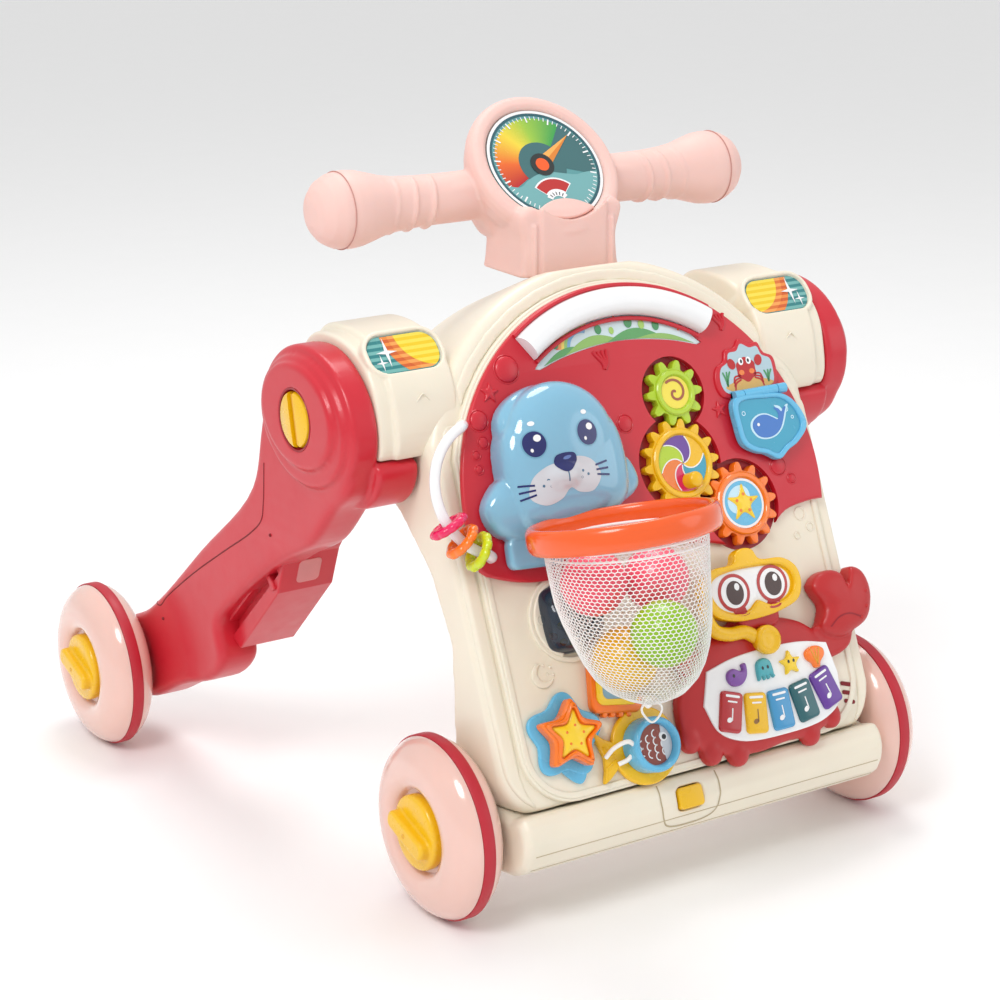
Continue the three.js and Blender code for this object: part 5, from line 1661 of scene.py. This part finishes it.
def make_crab():
    crab = Piece("crab_skin", "frame", PANEL, "crab_body", "red_plastic")
    body = smooth([(-18, 128), (-16, 108), (0, 98), (20, 92), (40, 90), (60, 92), (82, 92), (100, 98),
                   (110, 110),
                   (112, 130), (108, 150), (96, 164), (78, 172), (52, 178), (26, 172), (6, 164), (-9, 150)],
                   7)
    crab.add(plate(body, 0.4, 9, 3, 5), CRAB_RED)
    crab.add(domed(body, 0.4, 5, 12.5, 3.2, 14, (50, 132)), CRAB_RED)
    crab.add(plate(rounded(56, 177, 34, 18, 6), 0.4, 15, 3, 4), CRAB_RED)
    claw = smooth([(106, 158), (112, 172), (106, 186), (112, 193), (124, 195), (132, 191), (134, 183),
                   (141, 194),
                   (149, 191), (153, 183), (153, 172), (146, 158), (132, 152), (120, 150)], 6)
    crab.add(domed(claw, 1, 9, 16, 2.6, 14, (129, 172)), CRAB_RED)
    arm = smooth([(100, 140), (100, 158), (116, 162), (134, 158), (130, 144), (114, 138)], 6)
    crab.add(plate(arm, 1, 9, 3, 4), CRAB_RED)
    left = smooth([(-6, 150), (-14, 160), (-24, 158), (-28, 168), (-22, 182), (-10, 186), (0, 178),
                   (4, 166)], 6)
    crab.add(domed(left, 1, 7, 12, 2.6, 12), CRAB_RED)
    for x, s, r in ((-12, 110, 8), (2, 99, 8), (22, 94, 8), (82, 94, 7.6), (102, 101, 7)):
        crab.add(domed(oval(x, s, r, r * 1.25, 40, 0), 0.5, 5, 11, 2.2, 10), CRAB_RED)
    keep = Piece("keep", "frame")
    keep.add(plate(rounded(60, 120, 260, 300, 4), -20, 0.4), CRAB_RED)
    crab.build(fuse=1.1, soften=6, cut=(keep,))
    skin = Surface(bpy.data.objects["crab_skin"])
    details = Piece("crab_plate", "frame", PANEL, slot="white_plastic")
    pale = np.array([*open_line([(-1, 128), (6, 110), (22, 100.5), (57, 97.5), (92, 100.5), (107, 110),
                                 (110, 128)], 8),
                     *open_line([(106, 149), (86, 153.5), (57, 155), (28, 153.5), (7, 149)], 8)])
    details.add(plate(pale, 8, 13.0, 0.9, 3), WHITE)
    details.build()
    # The dark stroke is painted shade in the crease where the claw meets its arm.
    claw_line = Piece("claw_marks", "frame", PANEL, slot="red_plastic")
    claw_line.add(stroke(open_line([(112, 158), (119, 163), (128, 164), (138, 160)], 6), 1.0, skin, 0.2),
                  RED_RECESS_SHADE)
    for x, s in ((147, 176), (145, 166), (139, 159.5)):
        claw_line.add(ball((x, s, skin.height(x, s, 9)), 1.5, 8, 12, (1, 1, 0.7)), CRAB_RED)
    claw_line.build()
    make_mask()
    make_keys()


def make_mask():
    mask = Piece("mask_skin", "frame", PANEL, "crab_mask", "yellow_plastic")
    outline = smooth(MASK, 7)
    mask.add(plate(outline, 9.4, 16, 2.2, 4), YELLOW)
    face_line = smooth([(19, 197), (22, 205), (32, 208.5), (56, 209), (78, 206), (86, 200), (87, 192),
                        (82, 185),
                        (72, 182), (64, 182), (56, 186), (48, 181), (36, 180.5), (24, 186)], 6)
    mask.add(plate([outline, face_line], 12, 18.8, 1.3, 4), YELLOW)
    mask.add(domed(smooth(face_line[::3], 2), 12, 15.4, 16.8, 2.4, 8, (54, 196)), WHITE)
    skin = Surface(mask.build(sharp=40))
    eyes = Piece("mask_eyes", "frame", PANEL, slot="yellow_plastic")
    for x, s, out in ((38.5, 194.5, 1), (70.2, 195.0, -1)):
        stem = smooth([(x - 3.6, s - 7), (x + 3.6, s - 7), (x + 3 * out + 4.6, s - 15),
                       (x + 3 * out - 4.6, s - 15)], 5)
        eyes.add(printed(stem, skin, 0.12, 4, 16), EYE_RED)
        eyes.add(printed(oval(x, s, 12.6, 12.4, 44), skin, 0.2, 6, 16), EYE_RED)
        eyes.add(printed(oval(x, s, 10.2, 10.1, 44), skin, 0.32, 6, 16), WHITE)
        eyes.add(printed(oval(x + 0.6, s - 0.3, 6.9, 7.9, 40), skin, 0.44, 5, 16), BROWN)
        eyes.add(printed(oval(x + 2.8, s + 3.4, 2.0, 2.4, 20), skin, 0.56, 3, 16), WHITE)
    eyes.build()
    tube_piece = Piece("snorkel", "frame", PANEL, slot="yellow_plastic")
    path = open_line([(14.5, 192, 15), (14, 182, 15), (19, 173, 14.4), (29, 169, 14), (42, 168, 14),
                      (50, 163, 14)], 8)
    tube_piece.add(tube(path, 4.6, 18), YELLOW)
    tube_piece.build()
    nose = Piece("nose_skin", "nose_body", PANEL, "crab_nose", "yellow_plastic")
    profile = [(0, 7.2), (8.6, 7.2), (8.6, 14), (9.6, 15), (9.6, 18.6), (8.9, 20.2), (7.4, 20.8), (6.3, 20.1),
               (5.2, 19.6), (2.4, 19.9), (0, 20.0)]
    nose.add(moved(lathe(profile, 60), Matrix.Translation((56, 160, 0))), YELLOW)
    nose.build(sharp=50)


KEY_H = 15.4       # height of the keys' tops
KEYS = (KEY_RED, YELLOW, KEY_SKY, KEY_TEAL, KEY_PURPLE)


def make_keys():
    for i, material in enumerate(KEYS):
        a = math.radians((i - 2) * 9)
        at = shift(57 + 128 * math.sin(a), 242 - 128 * math.cos(a), 0, math.degrees(a))
        key = Piece(f"key_{i + 1}_skin", f"key_{i + 1}_body", PANEL, f"piano_key_{i + 1}",
                    ("key_red", "yellow_plastic", "door_blue", "key_teal", "key_purple")[i])
        key.add(plate(rounded(0, 0, 17.2, 26.6, 3.0), 4.4, KEY_H, 1.7, 4), material, at)
        key.add(flat_patch(rounded(0, 10.2, 11, 1.6, 0.8), KEY_H + 0.08), WHITE, at)
        key.add(flat_patch(rounded(0, 6.6, 7.5, 1.1, 0.5), KEY_H + 0.08), WHITE, at)
        dark = NOTE_DARK if i == 1 else WHITE
        key.add(flat_patch(oval(-1.6, -5.4, 2.2, 1.6, 18, 25), KEY_H + 0.1), dark, at)
        key.add(flat_patch(rounded(0.3, -1.6, 0.9, 8.2, 0.3), KEY_H + 0.1), dark, at)
        key.build(sharp=40)
    icons = (("whale", 28, WHALE_PURPLE), ("octopus", 50.5, OCTOPUS), ("star", 72, STAR_YELLOW),
             ("shell", 93, RING_ORANGE))
    for word, x, material in icons:
        button = Piece(f"{word}_skin", f"{word}_button_body", PANEL, f"sound_button_{word}",
                       {"whale": "key_purple", "octopus": "key_teal", "star": "yellow_plastic",
                        "shell": "orange_plastic"}[word])
        button.add(plate(icon_outline(word, x, 141.5), 4.4, 15.8, 1.5, 4), material)
        for dx in (-2.1, 2.1):
            if word in ("octopus", "star"):
                button.add(flat_patch(oval(x + dx, 142.8, 0.9, 1.2, 14), 15.9), BLACK)
        if word == "whale":
            button.add(flat_patch(oval(x - 3.4, 142.4, 1.0, 1.2, 14), 15.9), BLACK)
        if word == "shell":
            for k in (-1, 0, 1):
                rib = [(x, 136.6), (x + 3.4 * k, 147)]
                button.add(ribbon(open_line(rib, 5), 0.7, 15.6, 15.95), YELLOW_DEEP)
        button.build(sharp=40)


def icon_outline(word, x, s):
    if word == "whale":
        points = [(-8, -1), (-7, 3.5), (-2, 5.5), (3, 3), (5, 3.2), (5, 6.6), (8.2, 7.2), (8.6, 3), (7, -2),
                  (2, -6),
                  (-5, -5.4)]
        return smooth([(x + u, s + v) for u, v in points], 5)
    if word == "octopus":
        points = [(-6, -6.6), (-3.4, -3.8), (-1.6, -6.8), (0, -4.2), (1.8, -6.8), (3.4, -3.8), (6, -6.6),
                  (6.4, 0),
                  (5, 5.4), (0, 7.6), (-5, 5.4), (-6.4, 0)]
        return smooth([(x + u, s + v) for u, v in points], 5)
    if word == "star":
        return star(x, s, 8.4, 4.6, 90, 5, 5)
    points = [(-2, -7), (2, -7), (3.4, -4), (7.4, 0), (7.6, 4), (4, 6.6), (0, 7.4), (-4, 6.6), (-7.6, 4),
              (-7.4, 0),
              (-3.4, -4)]
    return smooth([(x + u, s + v) for u, v in points], 5)


OCTOPUS = moulded("octopus_teal", "46a9b4", 0.28, 0.4)
WHALE_PURPLE = moulded("whale_purple", "7d4aa0", 0.28, 0.4)
EYE_RED = moulded("eye_red", "b3201f", 0.25, 0.5)
NOTE_DARK = moulded("note_print", "8a5a10", 0.3, 0.4)


# ---- bead rail ----
BEADS = (("magenta", 205, MAGENTA), ("orange", 222, RING_ORANGE), ("lime", 239, LIME))


def make_rail():
    rail = Piece("rail_skin", "frame", PANEL, "bead_rail", "white_plastic")
    arc = [(RAIL[0] + RAIL_R * math.cos(math.radians(t)), RAIL[1] + RAIL_R * math.sin(math.radians(t)),
            RAIL_H)
           for t in np.linspace(112, 248, 60)]
    ends = [(RAIL[0] + RAIL_R * math.cos(math.radians(t)), RAIL[1] + RAIL_R * math.sin(math.radians(t)), h)
            for t, h in ((102, 4.4), (104, 9.4))]
    tail = [(RAIL[0] + RAIL_R * math.cos(math.radians(t)), RAIL[1] + RAIL_R * math.sin(math.radians(t)), h)
            for t, h in ((256, 9.4), (258, 4.4))]
    rail.add(tube(open_line([*ends, *arc, *tail], 3), 3.4, 18), WHITE)
    rail.build(sharp=60)
    for word, at, material in BEADS:
        ring = Piece(f"bead_{word}_skin", f"bead_{word}_body", bead_place(at), f"bead_ring_{word}",
                     {"magenta": "magenta_plastic", "orange": "orange_plastic",
                      "lime": "yellow_plastic"}[word])
        count, sides = 96, 16
        points, faces = [], []
        for i in range(count):
            a = 2 * math.pi * i / count
            lump = abs(math.cos(5 * a)) ** 0.8
            thick = 2.5 + 1.1 * lump
            for k in range(sides):
                t = 2 * math.pi * k / sides
                r = 9.4 + thick * 1.12 * math.cos(t)
                points.append((r * math.cos(a), r * math.sin(a), min(3.0, thick) * math.sin(t)))
        for i in range(count):
            for k in range(sides):
                n, m = (i + 1) % count, (k + 1) % sides
                faces.append([i * sides + k, n * sides + k, n * sides + m, i * sides + m])
        ring.add((np.array(points), faces, None), material)
        ring.build(sharp=80)


def bead_place(at):
    """The ring's own frame: its hole runs along the rail."""
    a = math.radians(at)
    turn = Matrix.Rotation(a, 4, "Z") @ Matrix.Rotation(-math.pi / 2, 4, "X")
    return PANEL @ Matrix.Translation((RAIL[0] + RAIL_R * math.cos(a), RAIL[1] + RAIL_R * math.sin(a),
                                       RAIL_H)) @ turn


def make_grille():
    # The slots are dark strips of painted shade, standing for the openings.
    grille = Piece("speaker_grille", "frame", PANEL, slot="red_plastic")
    for k in range(3):
        grille.add(plate(rounded(124, 118 - 6 * k, 9, 2.8, 1.3, -18), 0.05, 0.6, 0.2), RED_SEAM_SHADE)
    grille.build()


# ---- camera, light and floor ----
def make_camera():
    data = bpy.data.cameras.new("camera")
    data.lens = 89.17
    data.sensor_width = 36.0
    camera = bpy.data.objects.new("camera", data)
    bpy.context.scene.collection.objects.link(camera)
    azimuth, elevation = math.radians(-32.95), math.radians(17.56)
    camera.location = (-0.9101, -1.3684, 0.7261)
    camera.rotation_euler = (math.pi / 2 - elevation, 0, azimuth)
    bpy.context.scene.camera = camera


def make_lamp(name, place, aim, size, power, tint=(1, 1, 1)):
    data = bpy.data.lights.new(name, "AREA")
    data.shape = "DISK"
    data.size = size
    data.energy = power
    data.color = tint
    lamp = bpy.data.objects.new(name, data)
    bpy.context.scene.collection.objects.link(lamp)
    lamp.location = place
    lamp.rotation_euler = (Vector(aim) - Vector(place)).to_track_quat("-Z", "Y").to_euler()


def make_light():
    world = bpy.data.worlds.new("studio")
    bpy.context.scene.world = world
    world.use_nodes = True
    back = world.node_tree.nodes["Background"]
    back.inputs["Color"].default_value = (1, 1, 1, 1)
    back.inputs["Strength"].default_value = 0.76
    make_lamp("key", (-1.3, -0.8, 1.7), (0, 0, 0.2), 0.8, 16)
    make_lamp("fill", (1.5, -1.4, 0.9), (0, 0, 0.2), 1.2, 3)
    make_lamp("top", (0.3, 0.6, 2.0), (0, 0, 0.2), 1.0, 12)
    bpy.context.scene.view_settings.view_transform = "Standard"


def make_floor():
    floor = bpy.data.meshes.new("floor")
    floor.from_pydata([(-6, -6, 0), (6, -6, 0), (6, 6, 0), (-6, 6, 0)], [], [(0, 1, 2, 3)])
    floor.materials.append(moulded("floor_white", "fbfbfb", 0.6, grain=0.02, grain_scale=300, vary=0.01))
    obj = bpy.data.objects.new("floor", floor)
    bpy.context.scene.collection.objects.link(obj)


def main():
    make_wheels()
    for word, side in SIDES:
        make_arm(word, side)
        make_shoulder(word, side)
    make_shell()
    make_handlebar()
    make_dial()
    make_board()
    make_seal()
    make_hoop()
    make_net()
    make_balls()
    make_gears()
    make_door()
    make_rattle()
    make_star()
    make_square()
    make_fish()
    make_crab()
    make_rail()
    make_grille()
    make_camera()
    make_light()
    make_floor()


main()
